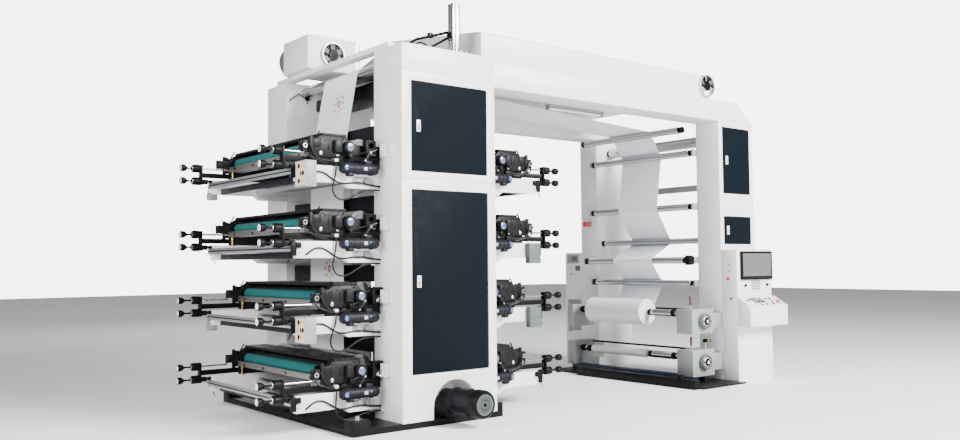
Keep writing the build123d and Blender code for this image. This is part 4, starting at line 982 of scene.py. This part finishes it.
class PRESS_OT_deck_fittings(bpy.types.Operator):
    """Add the decks' handles, valves, pipes and switch boxes"""

    bl_idname = "press.deck_fittings"
    bl_label = "Deck fittings"

    def execute(self, context):
        handles = []
        for y in ARM_Y:
            handles.append(bent(((-1.200, y, 0.200), (-1.200, y, 0.334), (-1.110, y, 0.348)), 0.008))
            handles.append(
                turned((-1.200, y, 0.246), "Z", ((0, 0.016), (0.030, 0.016), (0.034, 0.011)), 16))
        on_decks("cheek_handles", "black_coat", handles, CARRIAGE_SHIFT)
        hooks = [
            bent(((-1.505, 0.938, -0.070), (-1.505, 0.938, -0.170), (-1.430, 0.938, -0.196)), 0.005),
            bent(((-1.505, -1.066, -0.070), (-1.505, -1.066, -0.172), (-1.568, -1.066, -0.180)), 0.005),
            box(-1.545, -1.489, -1.093, -1.074, -0.118, 0.012, 0.004),
            box(-1.500, -1.445, -1.099, -1.074, -0.046, 0.008, 0.004)]
        on_decks("arm_hooks", "black_coat", hooks)
        pipes = [
            bent((
                (-1.300, -1.072, 0.170), (-1.290, -1.092, 0.110), (-1.215, -1.104, 0.088),
                (-1.130, -1.098, 0.060), (-1.060, -1.090, 0.040), (-1.000, -1.064, 0.066)), 0.0078, 3),
            bent((
                (-1.252, -1.076, 0.226), (-1.232, -1.106, 0.196), (-1.220, -1.112, 0.130),
                (-1.150, -1.106, 0.078), (-1.085, -1.098, 0.064), (-0.990, -1.090, 0.070)), 0.0078, 3)]
        on_decks("carriage_pipes", "cable_rubber", pipes, CARRIAGE_SHIFT)
        valves = [turned((-1.150, 0.870, 0.020), "Z", (
            (0, 0.014), (0.022, 0.014), (0.024, 0.010), (0.060, 0.010), (0.062, 0.015), (0.088, 0.015),
            (0.092, 0.009)), 12)]
        on_decks("tray_valves", "brass", valves, CARRIAGE_SHIFT)
        shown = decks(heights=(DECK_HEIGHTS[1], DECK_HEIGHTS[3]), sides=(1,))
        finish(
            "valve_boxes", "grey_coat",
            spread([box(-1.530, -1.425, 0.905, 0.965, -0.200, -0.118, 0.006)], shown))
        tap_x, tap_y = -1.512, 0.952
        taps = [turned((tap_x, tap_y, -0.205), "Z", (
            (0, 0.009), (0.090, 0.009), (0.094, 0.014), (0.112, 0.014), (0.116, 0.009),
            (0.140, 0.009)), 12)]
        finish("bar_taps", "brass", spread(taps, shown))
        knobs = [turned(
            (tap_x, tap_y, -0.068), "Z", ((0, 0.008), (0.006, 0.014), (0.016, 0.014), (0.020, 0.010)), 16)]
        finish("tap_knobs", "red_lens", spread(knobs, shown))
        rims = [
            turned(
                (x, ARM_FACE + 0.0005, -0.106), "-Y",
                ((0, 0.034), (0.003, 0.034), (0.004, 0.032), (0.004, 0.026)), 28)
            for x in (-0.860, -0.720)]
        rims += [
            box(-0.860, -0.720, ARM_FACE - 0.0035, ARM_FACE + 0.001, z, z + 0.007, 0.001, 1)
            for z in (-0.1395, -0.0795)]
        on_decks("arm_pockets", "grey_coat", rims)
        hoses = [bent((
            (-1.395, -1.084, -0.110), (-1.330, -1.084, -0.060), (-1.262, -1.084, -0.040),
            (-1.190, -1.084, -0.056), (-1.110, -1.084, -0.112), (-1.020, -1.084, -0.150),
            (-0.900, -1.084, -0.132), (-0.790, -1.084, -0.126), (-0.690, -1.084, -0.150),
            (-0.585, -1.084, -0.156)), 0.0092, 3)]
        finish("arm_hoses", "cable_rubber", spread(hoses, decks(sides=(1,))))
        self.switch_boxes()
        return {"FINISHED"}

    def switch_boxes(self):
        """Push-button boxes on the left arms, connection boxes on the right ones."""
        boxes, panels, yellow, black, joints = [], [], [], [], []
        for height in (DECK_HEIGHTS[1], DECK_HEIGHTS[3]):
            low, high = height - 0.205, height + 0.035
            boxes.append(box(-1.5015, -1.392, -1.290, -1.073, low, high, 0.005))
            panels.append(box(-1.5030, -1.499, -1.282, -1.085, low + 0.012, high - 0.012, 0.001, 1))
            for row in range(3):
                z = high - 0.050 - 0.068 * row
                for y in (-1.235, -1.155):
                    kind = yellow if (row != 1) == (y < -1.2) else black
                    kind.append(
                        turned((-1.5022, y, z), "-X", ((0, 0.023), (0.0012, 0.023), (0.0026, 0.018)), 20))
                (black if row == 1 else yellow).append(
                    box(-1.5045, -1.5025, -1.206, -1.184, z - 0.020, z + 0.020, 0.0006, 1))
        for height in (DECK_HEIGHTS[1], DECK_HEIGHTS[2]):
            joints.append(box(1.322, 1.490, -1.143, -1.073, height - 0.205, height + 0.020, 0.006))
            joints.append(box(1.330, 1.482, -1.145, -1.140, height - 0.110, height + 0.012, 0.002))
        finish("switch_boxes_painted", "grey_coat", boxes, replaces=("switch_boxes",))
        finish("connection_boxes", "blower_coat", joints)
        finish("switch_panels", "panel_beige", panels)
        finish("switch_buttons_yellow", "yellow_plastic", yellow)
        finish("switch_buttons_black", "black_coat", black)


# Rollers along the web's way from the tower to the upper roll: X, Z, radius, and 1 where the web
# bends clockwise around the roller, seen from the operator's side
WEB_STAND_OFF = 0.0007
WEB_Y = 0.035
WEB_WIDTH = 0.720
WEB_ROUTE = (
    (-0.060, 3.600, 0.055, -1), (-0.330, 3.600, 0.055, -1), (-0.673, 2.705, 0.114, 1),
    (-0.5156, 0.112, 0.042, -1), (0.5156, 0.112, 0.042, -1), (0.673, 2.705, 0.114, 1),
    (0.640, 3.530, 0.055, 1), (4.297, 3.336, 0.045, 1), (4.510, 3.040, 0.045, 1), (4.490, 2.309, 0.045, -1),
    (4.700, 1.852, 0.040, 1), (4.358, 1.585, 0.045, -1), (4.500, 1.275, 0.040, 1),
    (WINDING_X, UPPER_SHAFT_Z, ROLL_RADIUS, 1))


def web_line():
    """Points of the web's line: straight between the rollers and bent round each of them."""
    touch = []
    for (x0, z0, r0, side0), (x1, z1, r1, side1) in zip(WEB_ROUTE, WEB_ROUTE[1:]):
        length = hypot(x1 - x0, z1 - z0)
        along = Vector(((x1 - x0) / length, (z1 - z0) / length))
        reach0, reach1 = side0 * (r0 + WEB_STAND_OFF), side1 * (r1 + WEB_STAND_OFF)
        lean = (reach0 - reach1) / length
        normal = lean * along + sqrt(1 - lean * lean) * Vector((-along.y, along.x))
        touch.append((Vector((x0, z0)) + reach0 * normal, Vector((x1, z1)) + reach1 * normal))
    points = [touch[0][0]]
    for index, (x, z, radius, side) in enumerate(WEB_ROUTE[1:-1]):
        arrive, leave = touch[index][1], touch[index + 1][0]
        start = atan2(arrive.y - z, arrive.x - x)
        sweep = (atan2(leave.y - z, leave.x - x) - start) % (2 * pi)
        if side > 0:
            sweep -= 2 * pi
        steps = max(1, int(abs(sweep) / radians(7)))
        reach = radius + WEB_STAND_OFF
        for step in range(steps + 1):
            angle = start + sweep * step / steps
            points.append(Vector((x + reach * cos(angle), z + reach * sin(angle))))
    points.append(touch[-1][1])
    return points


class PRESS_OT_web(bpy.types.Operator):
    """Thread the web through the tower, over the bridge and down to the upper roll"""

    bl_idname = "press.web"
    bl_label = "Web"

    def execute(self, context):
        points = web_line()
        travel = [0.0]
        for before, after in zip(points, points[1:]):
            travel.append(travel[-1] + (after - before).length)
        deselect()
        bpy.ops.mesh.primitive_plane_add(size=1)
        strip = context.object
        mesh = strip.data
        mesh.clear_geometry()
        mesh.from_pydata(
            [(point.x, WEB_Y + side * WEB_WIDTH / 2, point.y) for point in points for side in (-1, 1)],
            [],
            [(2 * i, 2 * i + 1, 2 * i + 3, 2 * i + 2) for i in range(len(points) - 1)])
        layer = mesh.uv_layers.new(name="travel")
        for loop in mesh.loops:
            layer.data[loop.index].uv = (
                travel[loop.vertex_index // 2], WEB_WIDTH * (loop.vertex_index % 2))
        thick = strip.modifiers.new("thickness", "SOLIDIFY")
        thick.thickness = 0.001
        thick.offset = 0
        bpy.ops.object.modifier_apply(modifier="thickness")
        finish("web_strip", "film", [strip], replaces=("web",), smooth=40)
        return {"FINISHED"}


def axial_fan(x, z, face):
    """The pieces of a fan that blows towards -Y: its ring with the blades, its dark back and its guard."""
    radius = 0.145
    ring = turned((x, face, z), "-Y", (
        (0, radius - 0.010), (0, radius), (0.036, radius), (0.039, radius - 0.003), (0.039, radius - 0.014),
        (0.030, radius - 0.016), (0.004, radius - 0.016), (0.004, 0.03)), 48)
    blade = settle(
        box(-0.034, 0.034, -0.002, 0.002, 0.060, radius - 0.022, 0.0015, 1),
        Matrix.Translation((x, face - 0.016, z)) @ Matrix.Rotation(radians(24), 4, "Z"))
    blades = spread([blade], about_y(x, z, 6))
    back = [turned((x, face - 0.004, z), "-Y", ((0, 0.064), (0.022, 0.064), (0.027, 0.056)), 28),
            turned((x, face + 0.001, z), "-Y", ((0, radius - 0.018), (0.006, radius - 0.018)), 40)]
    guard = spread(
        [box(x - 0.002, x + 0.002, face - 0.036, face - 0.033, z, z + radius - 0.012, 0.0008, 1)],
        about_y(x, z, 8))
    for hoop in (0.055, 0.085, 0.112):
        bpy.ops.mesh.primitive_torus_add(
            major_radius=hoop, minor_radius=0.0018, major_segments=36, minor_segments=6)
        guard.append(settle(bpy.context.object, Matrix.Translation((x, face - 0.035, z)) @ TURN["Y"]))
    return [ring] + blades, back, guard


class PRESS_OT_tower_top(bpy.types.Operator):
    """Fit the fans, blower, mast, levers and rods at the tower's top"""

    bl_idname = "press.tower_top"
    bl_label = "Tower top"

    def execute(self, context):
        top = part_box("fan_box")[1].z
        shell = [box(-0.650, -0.030, 0.300, 0.890, 3.750, top, 0.006)]
        for x in (-0.560, -0.500, -0.190, -0.120):
            shell.append(box(x, x + 0.006, 0.298, 0.302, 3.770, top - 0.02, 0.001, 1))
        finish("fan_box_shell", "shell_coat", shell, replaces=("fan_box",))
        blower_x, blower_z = -0.460, 3.940
        blower = [
            turned((blower_x, 0.888, blower_z), "Y", (
                (0, 0.190), (0.114, 0.190), (0.122, 0.182), (0.122, 0.080), (0.114, 0.078)), 48),
            turned((blower_x, 1.001, blower_z), "Y", ((0, 0.075), (0.006, 0.070)), 32)]
        finish("blower_wheel", "blower_coat", blower)
        fans = zip(axial_fan(-0.340, 3.9275, 0.300), axial_fan(4.319, 3.868, BEAM_LOW.y))
        for name, paint, (first, second) in zip(
                ("rings", "backs", "guards"), ("drawn_aluminium", "black_coat", "deck_iron"), fans):
            finish("fan_" + name, paint, first + second, replaces=("hood_fans",) if name == "rings" else ())
        dress("mast", "turned_steel", 0.003)
        clamps = [box(0.190, 0.300, -1.265, -1.155, 3.700, 3.722, 0.004),
                  box(0.180, 0.202, -1.250, -1.170, 3.900, 3.960, 0.004)]
        finish("mast_clamps", "black_coat", clamps)
        rods = [
            turned((x, y, ROOF - 0.001), "Z", (
                (0, 0.022), (0.006, 0.022), (0.008, 0.009), (0.120, 0.009)), 16)
            for x, y in ((0.40, -1.12), (0.47, -1.12), (0.53, -1.02))]
        rods += [rod((x, 0.33, ROOF - 0.001), "Z", 0.010, 0.405, 12) for x in (-0.018, 0.035)]
        finish("top_rods", "chrome", rods)
        levers = [
            bent(((-0.46, -1.18, 3.69), (-0.46, -1.18, 3.735), (-0.38, -1.18, 3.760)), 0.008),
            bent((
                (-0.30, -1.30, 3.69), (-0.30, -1.30, 3.750), (-0.26, -1.30, 3.772), (-0.20, -1.30, 3.772),
                (-0.16, -1.30, 3.750), (-0.16, -1.30, 3.69)), 0.008, 3)]
        levers += [
            bent((
                (-0.390, -1.100, 3.695), (-0.330, -1.100, 3.790), (0.018, -1.100, 3.925),
                (0.235, -1.130, 3.984)), 0.015),
            bent(((-0.150, -1.130, 3.700), (-0.060, -1.120, 3.850), (0.235, -1.150, 3.930)), 0.013),
            box(-0.010, 0.045, -1.125, -1.085, 3.895, 3.950, 0.006)]
        finish("top_levers", "black_coat", levers)
        finish(
            "top_shaft", "drawn_aluminium",
            [bent(((0.268, -1.120, 3.840), (0.560, -1.100, 3.890), (0.560, -1.100, 3.700)), 0.010)])
        wires = [bent((
            (-0.536, 0.965, 3.474), (-0.536, 0.940, 3.480), (-0.536, 0.940, 3.580), (-0.315, 0.940, 3.580),
            (-0.315, 0.940, 3.480), (-0.315, 0.965, 3.474)), 0.006)]
        wires.append(box(-0.335, -0.295, 0.920, 0.962, 3.510, 3.550, 0.005))
        finish("rear_wire_frame", "black_coat", wires)
        left, right, face = -0.52, -0.10, -0.962
        inner = [
            box(left, right, face, face + depth, z0, z1, 0.004)
            for z0, z1, depth in (
                (3.64, 3.672, 0.05), (3.34, 3.372, 0.05), (3.160, 3.190, 0.08), (2.980, 3.010, 0.06))]
        inner.append(box(-0.45, -0.30, face, -0.86, 3.06, 3.15, 0.006))
        finish("inner_strips", "deck_iron", inner)
        light = [box(left, right, face, face + 0.040, z, z + 0.020, 0.003)
                 for z in (3.600, 3.540, 3.480, 3.300, 3.250, 3.120, 2.940, 2.880)]
        finish("inner_light_strips", "shell_coat", light)
        dress("tower_rollers", "chrome", 0.001, angle=60)
        return {"FINISHED"}


class PRESS_OT_bridge(bpy.types.Operator):
    """Dress the bridge beams and the drying hood, and hang their light"""

    bl_idname = "press.bridge"
    bl_label = "Bridge"

    def execute(self, context):
        dress("front_beam", "white_coat", 0.004)
        dress("rear_beam", "white_coat", 0.004)
        dress("drying_hood", "white_coat", 0.004, angle=25)
        seams = [seam(x, x + 0.004, BEAM_LOW.y - 0.0004, BEAM_LOW.y + 0.002, BEAM_LOW.z + 0.01, 3.708)
                 for x in (1.44, 2.80, 4.16)]
        finish("beam_seams", "grey_coat", seams)
        low = BEAM_LOW.z
        finish("bridge_light_body", "grey_coat", [
            box(1.870, 2.790, -0.912, -0.836, low - 0.026, low + 0.001, 0.004),
            box(1.870, 1.890, -0.905, -0.843, low - 0.062, low - 0.020, 0.003),
            box(2.770, 2.790, -0.905, -0.843, low - 0.062, low - 0.020, 0.003)])
        tube = [turned((1.900, -0.872, low - 0.044), "X", (
            (-0.012, 0.010), (0.004, 0.016), (0.856, 0.016), (0.872, 0.010)), 20)]
        finish("bridge_light_tube", "white_plastic", tube)
        return {"FINISHED"}


# Faces between the columns: of the rollers' bearing plates, and of the columns
FRONT_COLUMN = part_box("winder_front_column")[1].y
REAR_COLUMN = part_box("winder_rear_column")[0].y
PLATE_FACES = ((FRONT_COLUMN + 0.0005, "Y"), (REAR_COLUMN - 0.0005, "-Y"))
COLUMN_FACES = ((FRONT_COLUMN - 0.001, "Y"), (REAR_COLUMN + 0.001, "-Y"))


class PRESS_OT_winder(bpy.types.Operator):
    """Fit the winding tower's rollers, blocks, shafts and handles"""

    bl_idname = "press.winder"
    bl_label = "Winder"

    def execute(self, context):
        for node in ("winder_front_column", "winder_rear_column", "rear_cabinet", "console"):
            dress(node, "white_coat", 0.004)
        dress("winder_base", "black_coat", 0.004)
        dress("roller_plates", "grey_coat", 0.003)
        rollers, ends = [], []
        for x, z, radius, _ in WEB_ROUTE[7:13]:
            rollers.append(turned((x, -0.860, z), "Y", (
                (0, radius - 0.004), (0.003, radius), (1.757, radius), (1.760, radius - 0.004)), 48))
            for y, axis in PLATE_FACES:
                ends.append(turned((x, y, z), axis, (
                    (0, 0.044), (0.022, 0.044), (0.026, 0.036), (0.048, 0.036), (0.050, radius - 0.002),
                    (0.060, radius - 0.002)), 28))
        finish("winder_rollers_turned", "chrome", rollers, replaces=("winder_guide_rollers",))
        finish("winder_roller_ends", "black_coat", ends)
        cooling_x, cooling_z = 4.869, 3.234
        finish("cooling_roller", "chrome", [turned((cooling_x, -0.925, cooling_z), "Y", (
            (0, 0.030), (0.050, 0.030), (0.050, 0.071), (0.053, 0.074), (1.827, 0.074), (1.830, 0.071),
            (1.830, 0.030), (1.880, 0.030)), 48)])
        finish("cross_beam", "grey_coat", [box(5.180, 5.220, -0.922, 0.955, 2.580, 2.670, 0.003)])
        finish("cooling_roller_ends", "black_coat", [
            turned((cooling_x, y, cooling_z), axis, ((0, 0.058), (0.030, 0.058), (0.036, 0.046)), 28)
            for y, axis in COLUMN_FACES])
        brake = [
            box(4.290, 4.430, -0.946, -0.918, 1.520, 1.650, 0.006),
            box(4.300, 4.400, 0.930, 0.952, 1.540, 1.630, 0.005)]
        brake += [box(4.300, 4.420, y, y + 0.006, 1.530, 1.640, 0.002, 1) for y in (-0.952, -0.964, -0.976)]
        brake.append(box(4.315, 4.405, -0.980, -0.945, 1.545, 1.625, 0.003))
        finish("roller_brake", "black_coat", brake)
        finish("cross_rail_cover", "navy_rail", [box(4.019, 4.181, -1.300, 0.964, 0.026, 0.0975, 0.002)])
        finish("base_stop", "black_coat", [box(3.625, 3.690, -1.360, -1.290, 0.113, 0.160, 0.006)])
        dress("winder_blocks", "grey_coat", 0.005)
        self.hubs()
        self.shafts()
        return {"FINISHED"}

    def hubs(self):
        """Hub flanges, handles and the valve in front of the winding blocks."""
        dark, light, core, caps, bases, grips = [], [], [], [], [], []
        x, y = HUB_X, HUB_FACE
        grip_x, grip_y = 4.060, -1.180
        for z in HUB_HEIGHTS:
            dark.append(turned((x, y, z), "-Y", (
                (0, 0.104), (0.012, 0.104), (0.020, 0.098), (0.034, 0.096), (0.038, 0.090), (0.038, 0.072),
                (0.022, 0.070)), 16))
            light.append(turned((x, y - 0.012, z), "-Y", (
                (0, 0.068), (0.022, 0.068), (0.026, 0.062), (0.026, 0.050), (0.014, 0.048)), 12))
            core.append(turned((x, y - 0.012, z), "-Y", ((0, 0.047), (0.030, 0.047), (0.036, 0.042)), 32))
            core += spread(
                [box(x - 0.008, x + 0.008, y - 0.0395, y - 0.030, z + 0.050, z + 0.066, 0.002, 1)],
                about_y(x, z, 6, pi / 6))
            core += spread([bolt((x, y - 0.037, z + 0.081), "-Y", 0.007, 0.005)], about_y(x, z, 8))
            caps.append(turned((x, y - 0.047, z), "-Y", ((0, 0.019), (0.004, 0.019), (0.005, 0.012)), 24))
        for z in BLOCK_TOPS:
            bases.append(turned((grip_x, grip_y, z - 0.001), "Z", (
                (0, 0.030), (0.012, 0.030), (0.016, 0.018), (0.050, 0.014), (0.054, 0.010)), 24))
            bases.append(bent((
                (grip_x, grip_y, z + 0.020), (grip_x - 0.070, grip_y, z + 0.020),
                (grip_x - 0.105, grip_y, z - 0.004)), 0.008))
            grips.append(turned((grip_x, grip_y, z + 0.052), "Z", (
                (0, 0.010), (0.004, 0.015), (0.100, 0.017), (0.112, 0.012)), 20))
        finish("hub_rims", "blower_coat", dark)
        finish("hub_rings", "drawn_aluminium", light)
        finish("hub_cores", "black_coat", core)
        finish("hub_caps", "white_plastic", caps)
        finish("block_grip_bases", "turned_steel", bases)
        finish("block_grips", "brown_plastic", grips)
        valve_y, valve_z = -1.240, 0.540
        finish("air_valve_body", "brass", [turned((4.290, valve_y, valve_z), "X", (
            (0, 0.016), (0.030, 0.016), (0.032, 0.022), (0.060, 0.022)), 20)])
        finish("air_valve_knobs", "black_coat", [
            turned((4.250, valve_y, valve_z), "X", ((0, 0.026), (0.040, 0.026), (0.046, 0.018)), 20),
            turned((4.348, valve_y, valve_z), "X", ((0, 0.020), (0.030, 0.016)), 16)])
        finish("air_valve_pipe", "turned_steel", [rod((4.270, valve_y, 0.432), "Z", 0.010, 0.100, 16)])
        finish("shaft_side_bars", "black_coat", [
            rod((4.340, -1.050, z), "Y", 0.014, 1.900, 16) for z in (0.930, 0.410)])

    def shafts(self):
        """The wound roll and the lower core on their shafts, which turn."""
        roll = turned((WINDING_X, -0.420, UPPER_SHAFT_Z), "Y", (
            (0, 0.045), (0, 0.170), (0.004, ROLL_RADIUS), (1.016, ROLL_RADIUS), (1.020, 0.170),
            (1.020, 0.045)), 72)
        finish("wound_roll", "roll_film", [roll], "upper_winding_shaft", ("upper_roll",))
        core = turned(
            (WINDING_X, -0.440, UPPER_SHAFT_Z), "Y",
            ((0, 0.030), (0, 0.043), (1.060, 0.043), (1.060, 0.030)), 40)
        finish("wound_roll_core", "panel_beige", [core], "upper_winding_shaft")
        lower = turned((WINDING_X, -0.420, LOWER_SHAFT_Z), "Y", (
            (0, 0.030), (0, 0.052), (0.003, 0.055), (1.017, 0.055), (1.020, 0.052), (1.020, 0.030)), 48)
        finish("lower_core_tube", "white_plastic", [lower], "lower_winding_shaft", ("lower_roll",))
        for body, z in (("upper_winding_shaft", UPPER_SHAFT_Z), ("lower_winding_shaft", LOWER_SHAFT_Z)):
            shaft = turned((WINDING_X, -1.135, z), "Y", (
                (0, 0.024), (0.004, 0.028), (2.066, 0.028), (2.070, 0.024)), 32)
            sleeve = turned((WINDING_X, -0.850, z), "Y", (
                (0, 0.030), (0, 0.044), (0.003, 0.047), (0.337, 0.047), (0.340, 0.044), (0.340, 0.030)), 40)
            finish(body + "_bar", "chrome", [shaft, sleeve], body)
            chucks = [
                turned((WINDING_X, y, z), "Y", (
                    (0, 0.030), (0.004, 0.044), (0.030, 0.048), (0.060, 0.044), (0.064, 0.030)), 32)
                for y in (-0.900, -0.520, 0.640, 0.760)]
            finish(body + "_chucks", "black_coat", chucks, body)


class PRESS_OT_console(bpy.types.Operator):
    """Fit the operator's console, its desk and the rear cabinet's panels"""

    bl_idname = "press.console"
    bl_label = "Console"

    def execute(self, context):
        dress("console_desk", "white_coat", 0.005)
        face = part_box("console")[0].y
        finish(
            "monitor_frame", "black_coat",
            [box(4.640, 5.330, face - 0.029, face + 0.001, 1.322, 1.696, 0.006)], replaces=("monitor",))
        finish(
            "monitor_screen", "screen_glass",
            [box(4.672, 5.298, face - 0.030, face - 0.026, 1.368, 1.668, 0.001, 1)])
        keys = [box(x, x + 0.040, face - 0.006, face + 0.001, z, z + 0.024, 0.002)
                for x in (4.880, 4.932, 4.984, 5.036) for z in (1.192, 1.226, 1.260, 1.290)]
        finish("keypad_keys", "grey_coat", keys)
        knobs = [
            turned((x, face + 0.001, 1.250), "-Y", (
                (0, 0.020), (0.007, 0.020), (0.021, 0.016), (0.023, 0.012)), 20)
            for x in (4.745, 5.230)]
        finish("console_knobs", "black_coat", knobs)
        self.desk(face)
        side = [
            turned((CABINET_SIDE, -1.42, z), "-X", ((0, 0.014), (0.005, 0.014), (0.011, 0.009)), 16)
            for z in (1.52, 1.44)]
        finish("console_side_dots", "grey_coat", side)
        finish("console_side_button", "red_lens", [
            turned((CABINET_SIDE, -1.40, 1.335), "-X", ((0, 0.016), (0.006, 0.022), (0.016, 0.018)), 20)])
        finish("console_latch", "black_coat", [
            turned((CABINET_SIDE, -1.44, 1.08), "-X", ((0, 0.014), (0.008, 0.014), (0.012, 0.008)), 16)])
        self.rear_cabinet()
        return {"FINISHED"}

    def desk(self, face):
        """The small panel and the buttons on the sloped top of the desk."""
        low, high = Vector((face - 0.199, 0.980)), Vector((face, 1.100))
        lean = atan2(high.y - low.y, high.x - low.x)

        def on_desk(x, share):
            """The place on the slope at an x and a share of its depth."""
            at = low.lerp(high, share)
            return Matrix.Translation((x, at.x, at.y)) @ Matrix.Rotation(lean, 4, "X")

        finish("desk_panel_frame", "black_coat", [
            settle(box(-0.115, 0.115, -0.055, 0.055, -0.003, 0.004, 0.002), on_desk(4.90, 0.60))])
        finish("desk_panel_glass", "screen_glass", [
            settle(box(-0.098, 0.098, -0.043, 0.043, 0.002, 0.0055, 0.001, 1), on_desk(4.90, 0.60))])
        buttons = [
            settle(turned((0, 0, -0.001), "Z", (
                (0, 0.015), (0.005, 0.015), (0.013, 0.011), (0.015, 0.008)), 20), on_desk(x, share))
            for x, share in (
                (4.68, 0.62), (4.74, 0.66), (5.10, 0.70), (5.18, 0.66), (5.16, 0.40), (4.86, 0.16),
                (4.98, 0.16), (5.12, 0.16))]
        finish("desk_buttons", "black_coat", buttons)
        stop = settle(turned((0, 0, -0.001), "Z", (
            (0, 0.016), (0.015, 0.016), (0.017, 0.026), (0.025, 0.026),
            (0.033, 0.016)), 28), on_desk(5.26, 0.30))
        finish("desk_stop_button", "red_lens", [stop])

    def rear_cabinet(self):
        """Displays, buttons and pockets on the cabinet behind the rear column, and its lamp."""
        x = CABINET_SIDE
        frames = [
            box(x - 0.010, x, 1.355, 1.60, 1.560, 1.690, 0.003),
            box(x - 0.007, x, 1.32, 1.60, 0.915, 0.995, 0.003),
            box(x - 0.007, x, 1.32, 1.50, 0.52, 0.68, 0.003),
            box(x - 0.007, x, 1.515, 1.60, 0.50, 0.58, 0.003)]
        finish("cabinet_display_frames", "grey_coat", frames)
        glass = [box(x - 0.012, x - 0.008, 1.385, 1.50, 1.590, 1.665, 0.001, 1),
                 box(x - 0.010, x, 1.330, 1.430, 1.440, 1.520, 0.003)]
        finish("cabinet_display_glass", "screen_glass", glass)
        black = [
            turned((x, 1.53, z), "-X", ((0, 0.012), (0.006, 0.012), (0.010, 0.008)), 16)
            for z in (1.485, 1.390)]
        finish("cabinet_buttons", "black_coat", black)
        lamp_y, lamp_z = 1.100, 2.150
        lamp = turned((x - 0.130, lamp_y, lamp_z), "X", (
            (0, 0.020), (0.003, 0.032), (0.010, 0.040), (0.080, 0.040), (0.082, 0.036)), 36)
        finish("warning_lamp", "red_lens", [lamp], replaces=("warning_light",))
        base = turned((x - 0.050, lamp_y, lamp_z), "X", ((0, 0.036), (0.010, 0.038), (0.050, 0.038)), 32)
        finish("warning_lamp_base", "grey_coat", [base])


class PRESS_PT_panel(bpy.types.Panel):
    """The press's settings and steps"""

    bl_label = "Press"
    bl_idname = "PRESS_PT_panel"
    bl_space_type = "VIEW_3D"
    bl_region_type = "UI"
    bl_category = "Press"

    def draw(self, context):
        for settings in (context.scene.press_colours, context.scene.press_stage):
            for name in settings.__annotations__:
                self.layout.prop(settings, name)
        for step in STEPS:
            self.layout.operator(step.bl_idname)


STEPS = (PRESS_OT_stage, PRESS_OT_finishes, PRESS_OT_cables, PRESS_OT_housings, PRESS_OT_doors,
         PRESS_OT_main_motor, PRESS_OT_deck_frames, PRESS_OT_deck_rollers, PRESS_OT_adjusting_screws,
         PRESS_OT_deck_drives, PRESS_OT_deck_fittings, PRESS_OT_web, PRESS_OT_tower_top, PRESS_OT_bridge,
         PRESS_OT_winder, PRESS_OT_console)
CLASSES = (PressColours, StageSettings, *STEPS, PRESS_PT_panel)


def register():
    for cls in CLASSES:
        bpy.utils.register_class(cls)
    bpy.types.Scene.press_colours = bpy.props.PointerProperty(type=PressColours)
    bpy.types.Scene.press_stage = bpy.props.PointerProperty(type=StageSettings)


def unregister():
    del bpy.types.Scene.press_colours
    del bpy.types.Scene.press_stage
    for cls in reversed(CLASSES):
        bpy.utils.unregister_class(cls)


def main():
    register()
    for step in STEPS:
        group, name = step.bl_idname.split(".")
        getattr(getattr(bpy.ops, group), name)()


if __name__ == "__main__":
    main()
